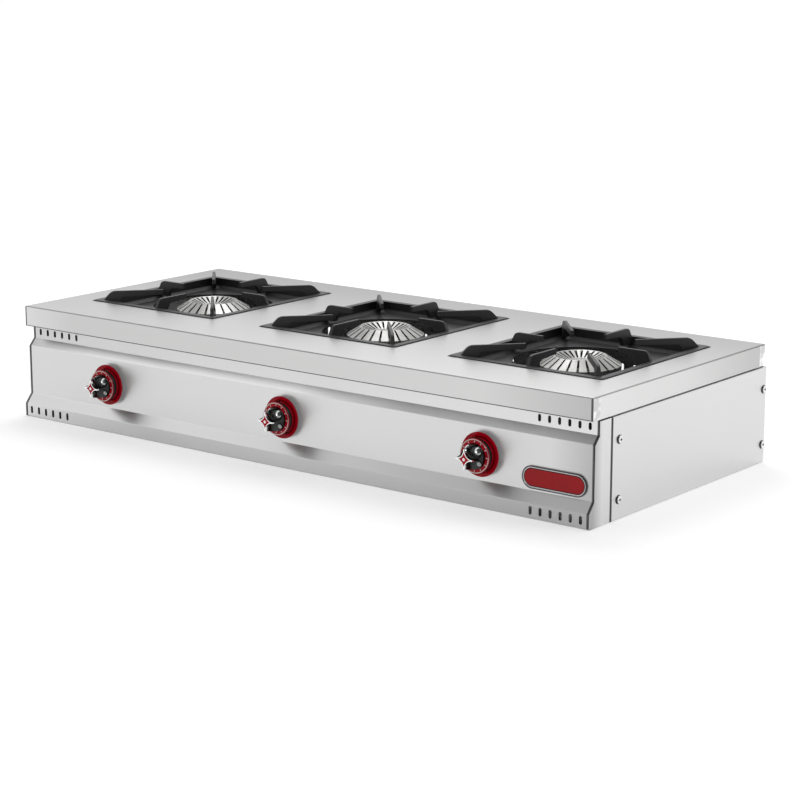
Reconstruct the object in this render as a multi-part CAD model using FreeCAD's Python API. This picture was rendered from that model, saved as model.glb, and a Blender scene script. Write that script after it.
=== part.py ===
"""Counter-top wok range with three open burners, as separate solids.

Frame: millimetres, +X to the user's right, +Y to the back, +Z up.  The origin is on the
table, in the middle of the top plate's width and depth.
"""
import FreeCAD, Part
import math
import os

V = FreeCAD.Vector
X_AXIS = V(1, 0, 0)
Y_AXIS = V(0, 1, 0)
Z_AXIS = V(0, 0, 1)

# ---- top plate -------------------------------------------------------------------------
TOP_WIDTH = 1200.0          # left lip to right lip
TOP_DEPTH = 506.0           # front lip to rear lip
TOP_HEIGHT = 199.0          # table to the cooking top
TOP_GAUGE = 1.5             # sheet thickness of the top
TOP_EDGE_RADIUS = 2.5       # rounding of the folded edges
LIP_HEIGHT = 35.5           # depth of the lip, seen from outside
LIP_HEM = 8.0               # width of the lip's return, measured from its outer face

# ---- body ------------------------------------------------------------------------------
BODY_GAUGE = 1.2            # sheet thickness of the body
BEND_RADIUS = 1.0           # inner radius of the body's folds
SHADOW_GAP = 2.6            # height of the gap under the lip
REAR_STEP = 5.0             # how far the body's back stands behind the rear lip
HEM_CLEARANCE = 1.0         # between the lip's return and the body's upstand
TOP_FLANGE = 18.0           # flange that carries the top plate
SKIRT_LIFT = 1.0            # lower edge of the body's panels above the table

# ---- front fascia, set back from the front of the lip -----------------------------------
RECESS_BACK = 19.3          # band with the upper vents
PANEL_BACK = 7.7            # main control panel
BAND_FORWARD = 6.0          # lower band, in front of the lip
RECESS_FOOT = 139.2         # heights of the fascia's folds
PANEL_TOP = 126.3
PANEL_FOOT = 40.7
BAND_TOP = 24.0
FASCIA_END_GAP = 1.6        # open seam between the fascia's end and its cheek
FASCIA_FOOT_FLANGE = 13.0
CHEEK_DEPTH = 50.0          # visible width of the cheek, back from the front of the lip
CHEEK_TONGUE = 34.0         # part of the cheek behind the side panel
SEAM_GAP = 1.2              # between the cheek and the side panel

# ---- vents in the fascia ----------------------------------------------------------------
VENT_COUNT = 6
VENT_PITCH = 18.0
VENT_WIDTH = 5.6
UPPER_VENT_FROM_END = 18.2  # outermost vent from the side of the top plate
LOWER_VENT_FROM_END = 15.7
UPPER_VENT_FOOT = 145.0
UPPER_VENT_LENGTH = 11.6
LOWER_VENT_FOOT = 7.0
LOWER_VENT_LENGTH = 13.2

# ---- fasteners --------------------------------------------------------------------------
SCREW_HEAD_RADIUS = 6.0
SCREW_HEAD_HEIGHT = 3.4
SCREW_SHANK_RADIUS = 2.4
SCREW_LENGTH = 7.0
SCREW_HOLE_CLEARANCE = 0.2
SIDE_SCREW_UPPER = 124.0    # heights of the side screws
SIDE_SCREW_LOWER = 31.5
FRONT_SCREW_BACK = 71.0     # from the front of the lip
REAR_SCREW_INSET = 7.5      # from the back of the body
BACK_SCREW_COUNT = 5
BACK_SCREW_HEIGHT = 12.0
BACK_SCREW_PITCH = 265.0

# ---- row of burners ---------------------------------------------------------------------
BURNER_COUNT = 3
CUTOUT_SIDE_MARGIN = 56.0   # outermost cut-outs from the sides of the top plate
BURNER_BACK = 17.0          # burner centres behind the middle of the top plate

# ---- cut-out, drip bowl and pan support ---------------------------------------------------
CUTOUT_X = 294.0
CUTOUT_Y = 323.0
CUTOUT_CORNER = 6.0
BOWL_GAUGE = 1.0
BOWL_FLANGE = 14.0          # flange under the top plate
LEDGE_DEPTH = 11.0          # ledge below the top face
LEDGE_WIDTH = 14.0
FLOOR_DEPTH = 16.5          # bowl floor below the top face
FLOOR_INSET_X = 25.0        # floor edge in from the cut-out, at the sides
FLOOR_INSET_Y = 20.5        # the same at the front and back
FLOOR_CORNER = 12.0
FLOOR_HOLE_RADIUS = 108.0
FLOOR_HOLE_ROLL = 2.0       # height of the upturned edge of the hole
SUPPORT_CLEARANCE = 1.8     # round the pan support, in the cut-out
SUPPORT_SEAT_GAP = 0.3
BAR_WIDTH = 12.0            # frame bar of the pan support
BAR_PROUD = 1.6             # frame top above the top plate
BAR_EDGE_RADIUS = 1.6
PAN_HEIGHT = 16.3           # fin tops above the top plate
FIN_TOP = 5.0               # fin thickness at its top
FIN_FOOT = 8.5              # fin thickness at its foot
FIN_BLADE_DEPTH = 10.5      # depth of the free end of a fin
SIDE_FIN_REACH = 72.0       # inner end of a side fin, from the burner's axis
SIDE_FIN_SHOULDER = 9.8     # rounding of its outer shoulder
CORNER_FIN_REACH = 90.0     # inner end of a corner fin, from the burner's axis
CORNER_FIN_SLOPE = 47.0     # degrees, rise from the frame to the shoulder
CORNER_FIN_SHOULDER = 16.0
ARCH_RADIUS = 12.0          # arch under the free end of a fin
ARCH_FROM_BAR = 24.0        # where the arch starts, in from the frame bar
ARCH_RUN = 7.2              # level distance that the arch takes to rise
ARCH_FOOT_ROUND = 2.0
FIN_END_RISE = 2.0          # rise of the blade's underside towards its free end
FIN_SHARP_ROUND = 0.5
SIDE_FIN_RUN = 7.7          # level length of the rise from the frame to a side fin's top

# ---- burner -----------------------------------------------------------------------------
CAP_RADIUS = 66.0
CAP_SEAT_DEPTH = 22.0       # seat of the cap below the top face
CAP_RISE = 16.0             # base of the cap to its crown
CROWN_RADIUS = 42.5
CROWN_ROUND = 1.8
CAP_HUB_RADIUS = 20.0
CAP_HUB_DROP = 9.0          # hub below the crown
CAP_WALL = 3.0
CAP_SEAT_GAP = 0.3
CAP_SPIGOT_LENGTH = 5.0
CAP_SPIGOT_WALL = 3.0
CAP_SPIGOT_CLEARANCE = 0.8
CAP_EDGE_HEIGHT = 2.0       # upright edge at the foot of the flank
CAP_EDGE_ROUND = 1.0
CAP_FUNNEL_ROUND = 4.0      # between the funnel and the hub
PORT_COUNT = 24
PORT_WIDTH = 3.0
PORT_MARGIN = 2.0           # plain metal at each end of a port
CUP_WALL = 5.0
CUP_DEPTH = 31.0
CUP_FOOT_RADIUS = 50.0
TUBE_RADIUS = 18.0          # mixing tube
TUBE_WALL = 4.0
TUBE_DROP = 19.5            # tube axis below the cap's seat
TUBE_MOUTH_FROM_PANEL = 66.0
TUBE_BELL_RADIUS = 22.0
TUBE_BELL_LENGTH = 10.0
YOKE_LENGTH = 22.0          # arms from the tube's mouth to the injector plate
YOKE_THICKNESS = 6.0
YOKE_HEIGHT = 24.0
YOKE_ARM_HEIGHT = 10.0
LUG_WIDTH = 26.0
LUG_THICKNESS = 8.0

# ---- rails that carry the burners -----------------------------------------------------------
RAIL_WIDTH = 30.0
RAIL_DEPTH = 20.0
RAIL_GAUGE = 1.5
RAIL_OFFSET = 70.0          # rail centre from the burner's axis

# ---- gas train ----------------------------------------------------------------------------
PIPE_RADIUS = 10.65         # main pipe, half-inch size
PIPE_WALL = 2.6
PIPE_BEND = 32.0
PIPE_HEIGHT = 48.0
PIPE_END_MARGIN = 40.0      # closed end of the pipe beyond the last valve
INLET_INSET = 54.0          # inlet axis from the side of the top plate
INLET_THREAD_RADIUS = 10.48
INLET_THREAD_LENGTH = 16.0
INLET_HOLE_CLEARANCE = 2.0
BRACKET_THICKNESS = 3.0
BRACKET_FOOT = 24.0
BRACKET_CLEARANCE = 0.1
FEED_RADIUS = 4.0
FEED_WALL = 1.0
FEED_BEND = 12.0
INJECTOR_HEX = 14.0         # across flats
INJECTOR_HEX_LENGTH = 8.0
INJECTOR_THREAD_RADIUS = 5.0
INJECTOR_NOSE_LENGTH = 8.0
INJECTOR_NOSE_RADIUS = 2.0
ORIFICE_RADIUS = 0.7

# ---- valve and knob ---------------------------------------------------------------------------
VALVE_RADIUS = 12.0
VALVE_LENGTH = 36.0
VALVE_FLANGE_RADIUS = 17.0
VALVE_FLANGE_THICKNESS = 3.0
VALVE_BOSS_RADIUS = 7.5
OUTLET_HEIGHT = 19.0        # outlet face above the spindle's axis
PLUG_NOSE_RADIUS = 7.5
PLUG_TAIL_RADIUS = 6.2
PLUG_LENGTH = 29.0
PLUG_FROM_NOSE = 4.0
PLUG_CLEARANCE = 0.05
SPINDLE_RADIUS = 4.0
SPINDLE_FLAT = 2.6          # distance of the flat from the spindle's axis
SPINDLE_CLEARANCE = 0.08
SPINDLE_DEPTH = 22.0        # how far the spindle reaches into the plug
SPINDLE_HOLE_CLEARANCE = 1.0
SPINDLE_TIP_WALL = 2.0      # metal of the skirt in front of the spindle's tip
PUSH_TRAVEL = 4.0
BEZEL_RADIUS = 35.0
BEZEL_FOOT_RADIUS = 27.5    # on the panel, below the flare
BEZEL_FLARE = 8.0           # height at which the flare ends
BEZEL_DEPTH = 9.5
BEZEL_ROUND = 0.8
BEZEL_FLARE_ROUND = 0.6
BEZEL_RING = 7.0            # width of the raised ring
BEZEL_DISH = 1.5            # slope of the ring's face and of its inner wall
BEZEL_DISH_ROUND = 1.2
BEZEL_FLOOR = 3.0
BEZEL_FLOOR_ROUND = 0.8
BEZEL_FOOT_ROUND = 0.4
KNOB_RIM_RADIUS = 26.2      # collar at the knob's back, inside the bezel's ring
KNOB_RIM_DEPTH = 3.0
KNOB_BACK = 8.0             # back of the knob from the panel, not pushed
KNOB_WAIST_RADIUS = 24.4
KNOB_WAIST_END = 6.0        # from the knob's back
KNOB_ROUND = 0.8            # small roundings of the collar
SKIRT_BACK = 7.6            # rear edge of the skirt from the knob's back
SKIRT_RADIUS = 27.5
SKIRT_ROUND = 1.2
SKIRT_DEPTH = 14.5          # front of the skirt from the knob's back
GRIP_DEPTH = 27.0
GRIP_BASE_RADIUS = 20.5
GRIP_FRONT_RADIUS = 15.5
SCALLOP_RADIUS = 12.5
SCALLOP_COUNT = 4
SCALLOP_FLOOR = 1.5         # metal left under the round end of a scallop
GRIP_WAIST = 6.4            # half thickness of the grip between two scallops
SCALLOP_LEAN = 0.03         # outward lean of the scallops, as a slope

# ---- badge place ------------------------------------------------------------------------------
BADGE_LENGTH = 116.0
BADGE_HEIGHT = 35.5
BADGE_FROM_END = 71.5       # its centre from the side of the top plate
BADGE_CENTRE = 61.5         # its centre above the table
BADGE_THICKNESS = 1.6
BADGE_RIM_WIDTH = 2.2
BADGE_RIM_HEIGHT = 0.8

# ---- floor pan --------------------------------------------------------------------------------
PAN_UPSTAND = 20.0
PAN_CLEARANCE = 0.3
AIR_SLOT_COUNT = 5
AIR_SLOT_LENGTH = 120.0
AIR_SLOT_WIDTH = 8.0
AIR_SLOT_PITCH = 30.0
BACK_VENT_COUNT = 9
BACK_VENT_PITCH = 24.0
BACK_VENT_WIDTH = 5.0
BACK_VENT_LENGTH = 34.0
BACK_VENT_FOOT = 96.0

# ---- places that follow -------------------------------------------------------------------------
SIDE = TOP_WIDTH / 2
LIP_FRONT = -TOP_DEPTH / 2
TOP_UNDER = TOP_HEIGHT - TOP_GAUGE
LIP_FOOT = TOP_HEIGHT - LIP_HEIGHT
BODY_TOP = LIP_FOOT - SHADOW_GAP
BODY_BACK = TOP_DEPTH / 2 + REAR_STEP
UPSTAND_INSET = LIP_HEM + HEM_CLEARANCE
RECESS_Y = LIP_FRONT + RECESS_BACK
PANEL_Y = LIP_FRONT + PANEL_BACK
BAND_Y = LIP_FRONT - BAND_FORWARD
PANEL_INNER = PANEL_Y + BODY_GAUGE
SEAM_Y = LIP_FRONT + CHEEK_DEPTH
BURNER_NAMES = ("left", "middle", "right")
BURNER_SPAN = TOP_WIDTH - CUTOUT_X - 2 * CUTOUT_SIDE_MARGIN
BURNER_PITCH = BURNER_SPAN / (BURNER_COUNT - 1)
BURNER_X = [BURNER_PITCH * (i - (BURNER_COUNT - 1) / 2) for i in range(BURNER_COUNT)]
LEDGE_Z = TOP_HEIGHT - LEDGE_DEPTH
FLOOR_Z = TOP_HEIGHT - FLOOR_DEPTH
BAR_TOP = TOP_HEIGHT + BAR_PROUD
BAR_FOOT = LEDGE_Z + SUPPORT_SEAT_GAP
FIN_Z = TOP_HEIGHT + PAN_HEIGHT
SUPPORT_X = CUTOUT_X / 2 - SUPPORT_CLEARANCE
SUPPORT_Y = CUTOUT_Y / 2 - SUPPORT_CLEARANCE
CAP_SEAT = TOP_HEIGHT - CAP_SEAT_DEPTH
CAP_FOOT = CAP_SEAT + CAP_SEAT_GAP
CUP_FOOT = CAP_SEAT - CUP_DEPTH
TUBE_Z = CAP_SEAT - TUBE_DROP
TUBE_MOUTH_Y = PANEL_Y + TUBE_MOUTH_FROM_PANEL
YOKE_Y = TUBE_MOUTH_Y - YOKE_LENGTH
RAIL_TOP = CUP_FOOT - LUG_THICKNESS
KNOB_Z = (PANEL_TOP + PANEL_FOOT) / 2
KNOB_BACK_Y = PANEL_Y - KNOB_BACK
GRIP_Y = KNOB_BACK_Y - SKIRT_DEPTH
SPINDLE_TIP_Y = GRIP_Y + SPINDLE_TIP_WALL
INJECTOR_Y = YOKE_Y - YOKE_THICKNESS - INJECTOR_HEX_LENGTH
FEED_Y = INJECTOR_Y - FEED_BEND
PLUG_Y = PANEL_INNER + PLUG_FROM_NOSE


# ---- small helpers ----------------------------------------------------------------------------
def box(x0, x1, y0, y1, z0, z1):
    """A box between two corners."""
    return Part.makeBox(x1 - x0, y1 - y0, z1 - z0, V(x0, y0, z0))


def rod(radius, start, end):
    """A cylinder from one point to another."""
    along = end.sub(start)
    return Part.makeCylinder(radius, along.Length, start, along)


def joined(shapes):
    """Several touching shapes as one solid, with no seams left on flat faces."""
    whole = shapes[0].fuse(list(shapes[1:]))
    return whole.removeSplitter()


def bend_edges(points, radii):
    """Edges of an open line through points, with an arc of the given radius at each bend."""
    edges = []
    start = points[0]
    for i in range(1, len(points) - 1):
        corner = points[i]
        back = points[i - 1].sub(corner).normalize()
        ahead = points[i + 1].sub(corner).normalize()
        half = back.getAngle(ahead) / 2
        reach = radii[i] / math.tan(half)
        first = corner.add(V(back).multiply(reach))
        last = corner.add(V(ahead).multiply(reach))
        middle_way = back.add(ahead).normalize()
        depth = radii[i] / math.sin(half) - radii[i]
        middle = corner.add(V(middle_way).multiply(depth))
        edges.append(Part.makeLine(start, first))
        edges.append(Part.Arc(first, middle, last).toShape())
        start = last
    edges.append(Part.makeLine(start, points[-1]))
    return edges


def bent_sheet(outline, gauge, bend, place):
    """Section of a folded sheet.

    outline runs along one face of the sheet, as pairs, with the metal on its left; place
    turns a pair into a point in space.
    """
    count = len(outline)
    flat = [V(u, v, 0) for u, v in outline]
    ways = [flat[i + 1].sub(flat[i]).normalize() for i in range(count - 1)]
    normals = [V(-w.y, w.x, 0) for w in ways]
    shifted = [flat[0].add(V(normals[0]).multiply(gauge))]
    face_radii = [0.0]
    other_radii = [0.0]
    for i in range(1, count - 1):
        mitre = normals[i - 1].add(normals[i])
        scale = gauge * 2 / mitre.dot(mitre)
        shifted.append(flat[i].add(V(mitre).multiply(scale)))
        turns_left = ways[i - 1].cross(ways[i]).z > 0
        face_radii.append(bend + gauge if turns_left else bend)
        other_radii.append(bend if turns_left else bend + gauge)
    shifted.append(flat[-1].add(V(normals[-1]).multiply(gauge)))
    face = [place(p.x, p.y) for p in flat]
    other = [place(p.x, p.y) for p in shifted]
    edges = bend_edges(face, face_radii)
    edges.append(Part.makeLine(face[-1], other[-1]))
    edges += bend_edges(other[::-1], [0.0] + other_radii[::-1])
    edges.append(Part.makeLine(other[0], face[0]))
    return Part.Face(Part.Wire(Part.__sortEdges__(edges)))


def rounded_rectangle(half_x, half_y, corner, z, centre=(0.0, 0.0)):
    """A level wire: a rectangle with rounded corners."""
    cx, cy = centre
    edges = []
    for sx, sy in ((1, 1), (-1, 1), (-1, -1), (1, -1)):
        mid = V(cx + sx * (half_x - corner), cy + sy * (half_y - corner), z)
        to_x = mid.add(V(sx * corner, 0, 0))
        to_y = mid.add(V(0, sy * corner, 0))
        out = mid.add(V(sx, sy, 0).normalize().multiply(corner))
        ends = (to_x, to_y) if sx * sy > 0 else (to_y, to_x)
        edges.append((ends[0], out, ends[1]))
    loop = []
    for i, (first, out, last) in enumerate(edges):
        loop.append(Part.Arc(first, out, last).toShape())
        loop.append(Part.makeLine(last, edges[(i + 1) % 4][0]))
    return Part.Wire(loop)


def slab(wire, height):
    """A wire filled and raised."""
    return Part.Face(wire).extrude(V(0, 0, height))


def slot(width, length, depth, centre):
    """A cutter for an upright round-ended slot through a panel that faces front or back."""
    radius = width / 2
    x, y, z = centre.x, centre.y - depth / 2, centre.z
    half = length / 2 - radius
    left = V(x - radius, y, z + half)
    right = V(x + radius, y, z + half)
    top = V(x, y, z + half + radius)
    low_right = V(x + radius, y, z - half)
    low_left = V(x - radius, y, z - half)
    foot = V(x, y, z - half - radius)
    wire = Part.Wire([
        Part.Arc(left, top, right).toShape(),
        Part.makeLine(right, low_right),
        Part.Arc(low_right, foot, low_left).toShape(),
        Part.makeLine(low_left, left),
    ])
    return Part.Face(wire).extrude(V(0, depth, 0))


def revolved(points, origin, axis, radial):
    """A solid of revolution from pairs (distance from the axis, distance along it)."""
    place = [origin.add(V(radial).multiply(r)).add(V(axis).multiply(h)) for r, h in points]
    face = Part.Face(Part.makePolygon(place + [place[0]]))
    return face.revolve(origin, axis, 360)


def mirrored(shape):
    """The same piece on the other side of the range."""
    return shape.mirror(V(0, 0, 0), X_AXIS)


def both_sides(shape):
    """A shape and its mirror image."""
    return [shape, mirrored(shape)]


# ---- sheet metal --------------------------------------------------------------------------------
def cutout_wire(centre_x, z, grow=0.0):
    return rounded_rectangle(CUTOUT_X / 2 + grow, CUTOUT_Y / 2 + grow, CUTOUT_CORNER + grow,
                             z, (centre_x, BURNER_BACK))


def top_plate():
    """Folded top: lips all round with a narrow return, and a cut-out for each burner."""
    outer = box(-SIDE, SIDE, LIP_FRONT, -LIP_FRONT, LIP_FOOT, TOP_HEIGHT)
    rounded = [e for e in outer.Edges if e.BoundBox.ZMax > LIP_FOOT + LIP_HEIGHT / 2]
    outer = outer.makeFillet(TOP_EDGE_RADIUS, rounded)
    inner_side = SIDE - TOP_GAUGE
    inner_front = LIP_FRONT + TOP_GAUGE
    hollow = box(-inner_side, inner_side, inner_front, -inner_front,
                 LIP_FOOT + TOP_GAUGE, TOP_UNDER)
    mouth = box(-SIDE + LIP_HEM, SIDE - LIP_HEM, LIP_FRONT + LIP_HEM, -LIP_FRONT - LIP_HEM,
                LIP_FOOT - TOP_GAUGE, LIP_FOOT + TOP_GAUGE)
    plate = outer.cut([hollow, mouth])
    cutters = [slab(cutout_wire(x, TOP_UNDER - TOP_GAUGE), 3 * TOP_GAUGE) for x in BURNER_X]
    return plate.cut(cutters)


def fascia_outline():
    """Front face of the fascia from the top flange down to the foot flange."""
    return [
        (RECESS_Y + TOP_FLANGE, TOP_UNDER),
        (RECESS_Y, TOP_UNDER),
        (RECESS_Y, RECESS_FOOT),
        (PANEL_Y, PANEL_TOP),
        (PANEL_Y, PANEL_FOOT),
        (BAND_Y, BAND_TOP),
        (BAND_Y, BODY_GAUGE),
        (BAND_Y + FASCIA_FOOT_FLANGE, BODY_GAUGE),
    ]


def vent_cutters(from_end, foot, length, y, through):
    """Cutters for the two groups of vents at one height."""
    cutters = []
    for side in (-1, 1):
        for i in range(VENT_COUNT):
            x = side * (SIDE - from_end - i * VENT_PITCH)
            cutters.append(slot(VENT_WIDTH, length, through, V(x, y, foot + length / 2)))
    return cutters


def front_fascia():
    """Folded control panel with four groups of vents and a hole for each spindle."""
    half = SIDE - BODY_GAUGE - FASCIA_END_GAP
    section = bent_sheet(fascia_outline(), BODY_GAUGE, BEND_RADIUS, lambda y, z: V(-half, y, z))
    sheet = section.extrude(V(2 * half, 0, 0))
    through = 4 * BODY_GAUGE
    beside_return = box(SIDE - UPSTAND_INSET, SIDE, LIP_FRONT, 0, BODY_TOP, TOP_HEIGHT)
    cutters = both_sides(beside_return)
    cutters += vent_cutters(UPPER_VENT_FROM_END, UPPER_VENT_FOOT, UPPER_VENT_LENGTH, RECESS_Y, through)
    cutters += vent_cutters(LOWER_VENT_FROM_END, LOWER_VENT_FOOT, LOWER_VENT_LENGTH, BAND_Y, through)
    hole = SPINDLE_RADIUS + SPINDLE_HOLE_CLEARANCE
    for x in BURNER_X:
        cutters.append(rod(hole, V(x, PANEL_Y - through, KNOB_Z), V(x, PANEL_Y + through, KNOB_Z)))
    return sheet.cut(cutters)


def front_screw_y():
    return LIP_FRONT + FRONT_SCREW_BACK


def rear_screw_y():
    return BODY_BACK - REAR_SCREW_INSET


def screw_hole(start, way, length):
    """A cutter for one screw's shank."""
    end = start.add(V(way).multiply(length))
    return rod(SCREW_SHANK_RADIUS + SCREW_HOLE_CLEARANCE, start, end)


def cheek():
    """Right end cheek of the fascia: its front edge has the fascia's profile, and its
    tongue lies behind the side panel."""
    profile = [
        (RECESS_Y, BODY_TOP),
        (RECESS_Y, RECESS_FOOT),
        (PANEL_Y, PANEL_TOP),
        (PANEL_Y, PANEL_FOOT),
        (BAND_Y, BAND_TOP),
        (BAND_Y, SKIRT_LIFT),
        (SEAM_Y, SKIRT_LIFT),
        (SEAM_Y, BODY_TOP),
    ]
    inner = SIDE - BODY_GAUGE
    corners = [V(inner, y, z) for y, z in profile]
    plate = Part.Face(Part.makePolygon(corners + [corners[0]])).extrude(V(BODY_GAUGE, 0, 0))
    tongue_foot = SKIRT_LIFT + PAN_UPSTAND + PAN_CLEARANCE
    tongue = box(inner - BODY_GAUGE, inner, SEAM_Y - BODY_GAUGE, SEAM_Y + CHEEK_TONGUE,
                 tongue_foot, BODY_TOP - 2 * BODY_GAUGE)
    whole = joined([plate, tongue])
    start = V(inner - 2 * BODY_GAUGE, front_screw_y(), 0)
    holes = [screw_hole(start.add(V(0, 0, z)), X_AXIS, 3 * BODY_GAUGE)
             for z in (SIDE_SCREW_LOWER, SIDE_SCREW_UPPER)]
    return whole.cut(holes)


def side_panel():
    """Right side panel: a web, a step in under the lip and a flange that carries the top."""
    upstand = SIDE - UPSTAND_INSET
    outline = [
        (SIDE, SKIRT_LIFT),
        (SIDE, BODY_TOP),
        (upstand, BODY_TOP),
        (upstand, TOP_UNDER),
        (upstand - TOP_FLANGE, TOP_UNDER),
    ]
    start = SEAM_Y + SEAM_GAP
    section = bent_sheet(outline, BODY_GAUGE, BEND_RADIUS, lambda x, z: V(x, start, z))
    sheet = section.extrude(V(0, BODY_BACK - start, 0))
    upstand_back = BODY_BACK - REAR_STEP - UPSTAND_INSET - BODY_GAUGE
    notch = box(upstand - 2 * TOP_FLANGE, SIDE - 2 * BODY_GAUGE, upstand_back - PAN_CLEARANCE,
                BODY_BACK + BODY_GAUGE, BODY_TOP - 2 * BODY_GAUGE, TOP_HEIGHT)
    holes = []
    for y in (front_screw_y(), rear_screw_y()):
        for z in (SIDE_SCREW_LOWER, SIDE_SCREW_UPPER):
            holes.append(screw_hole(V(SIDE + BODY_GAUGE, y, z), X_AXIS, -4 * BODY_GAUGE))
    return sheet.cut([notch] + holes)


def back_panel():
    """Back: a web with air slots and the gas inlet's hole, side flanges for the screws and
    a step in under the lip."""
    half = SIDE - BODY_GAUGE - PAN_CLEARANCE
    upstand = BODY_BACK - REAR_STEP - UPSTAND_INSET
    outline = [
        (upstand - TOP_FLANGE, TOP_UNDER),
        (upstand, TOP_UNDER),
        (upstand, BODY_TOP),
        (BODY_BACK, BODY_TOP),
        (BODY_BACK, SKIRT_LIFT),
    ]
    outline.reverse()
    section = bent_sheet(outline, BODY_GAUGE, BEND_RADIUS, lambda y, z: V(-half, y, z))
    sheet = section.extrude(V(2 * half, 0, 0))
    above = BODY_TOP - 2 * BODY_GAUGE
    below_shoulder = SIDE - 2 * BODY_GAUGE - PAN_CLEARANCE
    beside_upstand = SIDE - UPSTAND_INSET - BODY_GAUGE - PAN_CLEARANCE
    beside_flange = SIDE - UPSTAND_INSET - TOP_FLANGE - PAN_CLEARANCE
    corners = both_sides(box(below_shoulder, SIDE, 0, BODY_BACK, above, TOP_HEIGHT))
    corners += both_sides(box(beside_upstand, SIDE, 0, BODY_BACK - 2 * BODY_GAUGE, above, TOP_HEIGHT))
    corners += both_sides(box(beside_flange, SIDE, 0, upstand - BODY_GAUGE, above, TOP_HEIGHT))
    sheet = sheet.cut(corners)
    flange_foot = PAN_UPSTAND + SKIRT_LIFT + PAN_CLEARANCE
    flange = box(half - BODY_GAUGE, half, BODY_BACK - TOP_FLANGE, BODY_BACK - BODY_GAUGE / 2,
                 flange_foot, BODY_TOP - 3 * BODY_GAUGE)
    sheet = joined([sheet] + both_sides(flange))
    cutters = []
    for side in (-1, 1):
        for z in (SIDE_SCREW_LOWER, SIDE_SCREW_UPPER):
            start = V(side * (half - 2 * BODY_GAUGE), rear_screw_y(), z)
            cutters.append(screw_hole(start, X_AXIS, side * 4 * BODY_GAUGE))
    for x in back_screw_x():
        start = V(x, BODY_BACK + BODY_GAUGE, BACK_SCREW_HEIGHT)
        cutters.append(screw_hole(start, Y_AXIS, -3 * BODY_GAUGE))
    vent_z = BACK_VENT_FOOT + BACK_VENT_LENGTH / 2
    for x in BURNER_X:
        for i in range(BACK_VENT_COUNT):
            offset = (i - (BACK_VENT_COUNT - 1) / 2) * BACK_VENT_PITCH
            centre = V(x + offset, BODY_BACK, vent_z)
            cutters.append(slot(BACK_VENT_WIDTH, BACK_VENT_LENGTH, 6 * BODY_GAUGE, centre))
    inlet = V(inlet_x(), BODY_BACK - 4 * BODY_GAUGE, PIPE_HEIGHT)
    cutters.append(rod(PIPE_RADIUS + INLET_HOLE_CLEARANCE, inlet,
                       inlet.add(V(0, 8 * BODY_GAUGE, 0))))
    return sheet.cut(cutters)


def floor_pan():
    """Tray that the range stands on, with air slots below each burner."""
    half = SIDE - BODY_GAUGE - PAN_CLEARANCE
    front = BAND_Y + BODY_GAUGE + PAN_CLEARANCE
    back = BODY_BACK - BODY_GAUGE
    sheet = box(-half, half, front, back, 0, BODY_GAUGE)
    upright_front = SEAM_Y
    side_wall = box(half - BODY_GAUGE, half, upright_front, back, 0, PAN_UPSTAND)
    rear_wall = box(-half, half, back - BODY_GAUGE, back, 0, PAN_UPSTAND)
    tray = joined([sheet, rear_wall] + both_sides(side_wall))
    cutters = []
    for x in BURNER_X:
        for i in range(AIR_SLOT_COUNT):
            offset = (i - (AIR_SLOT_COUNT - 1) / 2) * AIR_SLOT_PITCH
            wire = rounded_rectangle(AIR_SLOT_LENGTH / 2, AIR_SLOT_WIDTH / 2,
                                     AIR_SLOT_WIDTH / 2 - 0.1, -BODY_GAUGE,
                                     (x, BURNER_BACK + offset))
            cutters.append(slab(wire, 3 * BODY_GAUGE))
    for x in back_screw_x():
        start = V(x, back + BODY_GAUGE, BACK_SCREW_HEIGHT)
        cutters.append(screw_hole(start, Y_AXIS, -3 * BODY_GAUGE))
    return tray.cut(cutters)


# ---- fasteners ------------------------------------------------------------------------------------
def screw(place, way):
    """A pan-head screw whose head sits on the face at place; way points out of the face."""
    radial = Y_AXIS if abs(way.x) > 0.5 else X_AXIS
    crown = SCREW_HEAD_HEIGHT
    profile = [
        (0, -SCREW_LENGTH),
        (SCREW_SHANK_RADIUS, -SCREW_LENGTH),
        (SCREW_SHANK_RADIUS, 0),
        (SCREW_HEAD_RADIUS, 0),
        (SCREW_HEAD_RADIUS, crown * 0.35),
        (SCREW_HEAD_RADIUS * 0.86, crown * 0.75),
        (SCREW_HEAD_RADIUS * 0.55, crown * 0.96),
        (0, crown),
    ]
    return revolved(profile, place, way, radial)


def side_screws():
    """Four screws on each side, one group of separate solids."""
    solids = []
    for side in (-1, 1):
        for y in (front_screw_y(), rear_screw_y()):
            for z in (SIDE_SCREW_LOWER, SIDE_SCREW_UPPER):
                solids.append(screw(V(side * SIDE, y, z), V(side, 0, 0)))
    return Part.makeCompound(solids)


def back_screw_x():
    middle = (BACK_SCREW_COUNT - 1) / 2
    return [(i - middle) * BACK_SCREW_PITCH for i in range(BACK_SCREW_COUNT)]


def back_screws():
    """Row of screws that hold the back panel to the floor pan."""
    solids = [screw(V(x, BODY_BACK, BACK_SCREW_HEIGHT), Y_AXIS) for x in back_screw_x()]
    return Part.makeCompound(solids)


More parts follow.
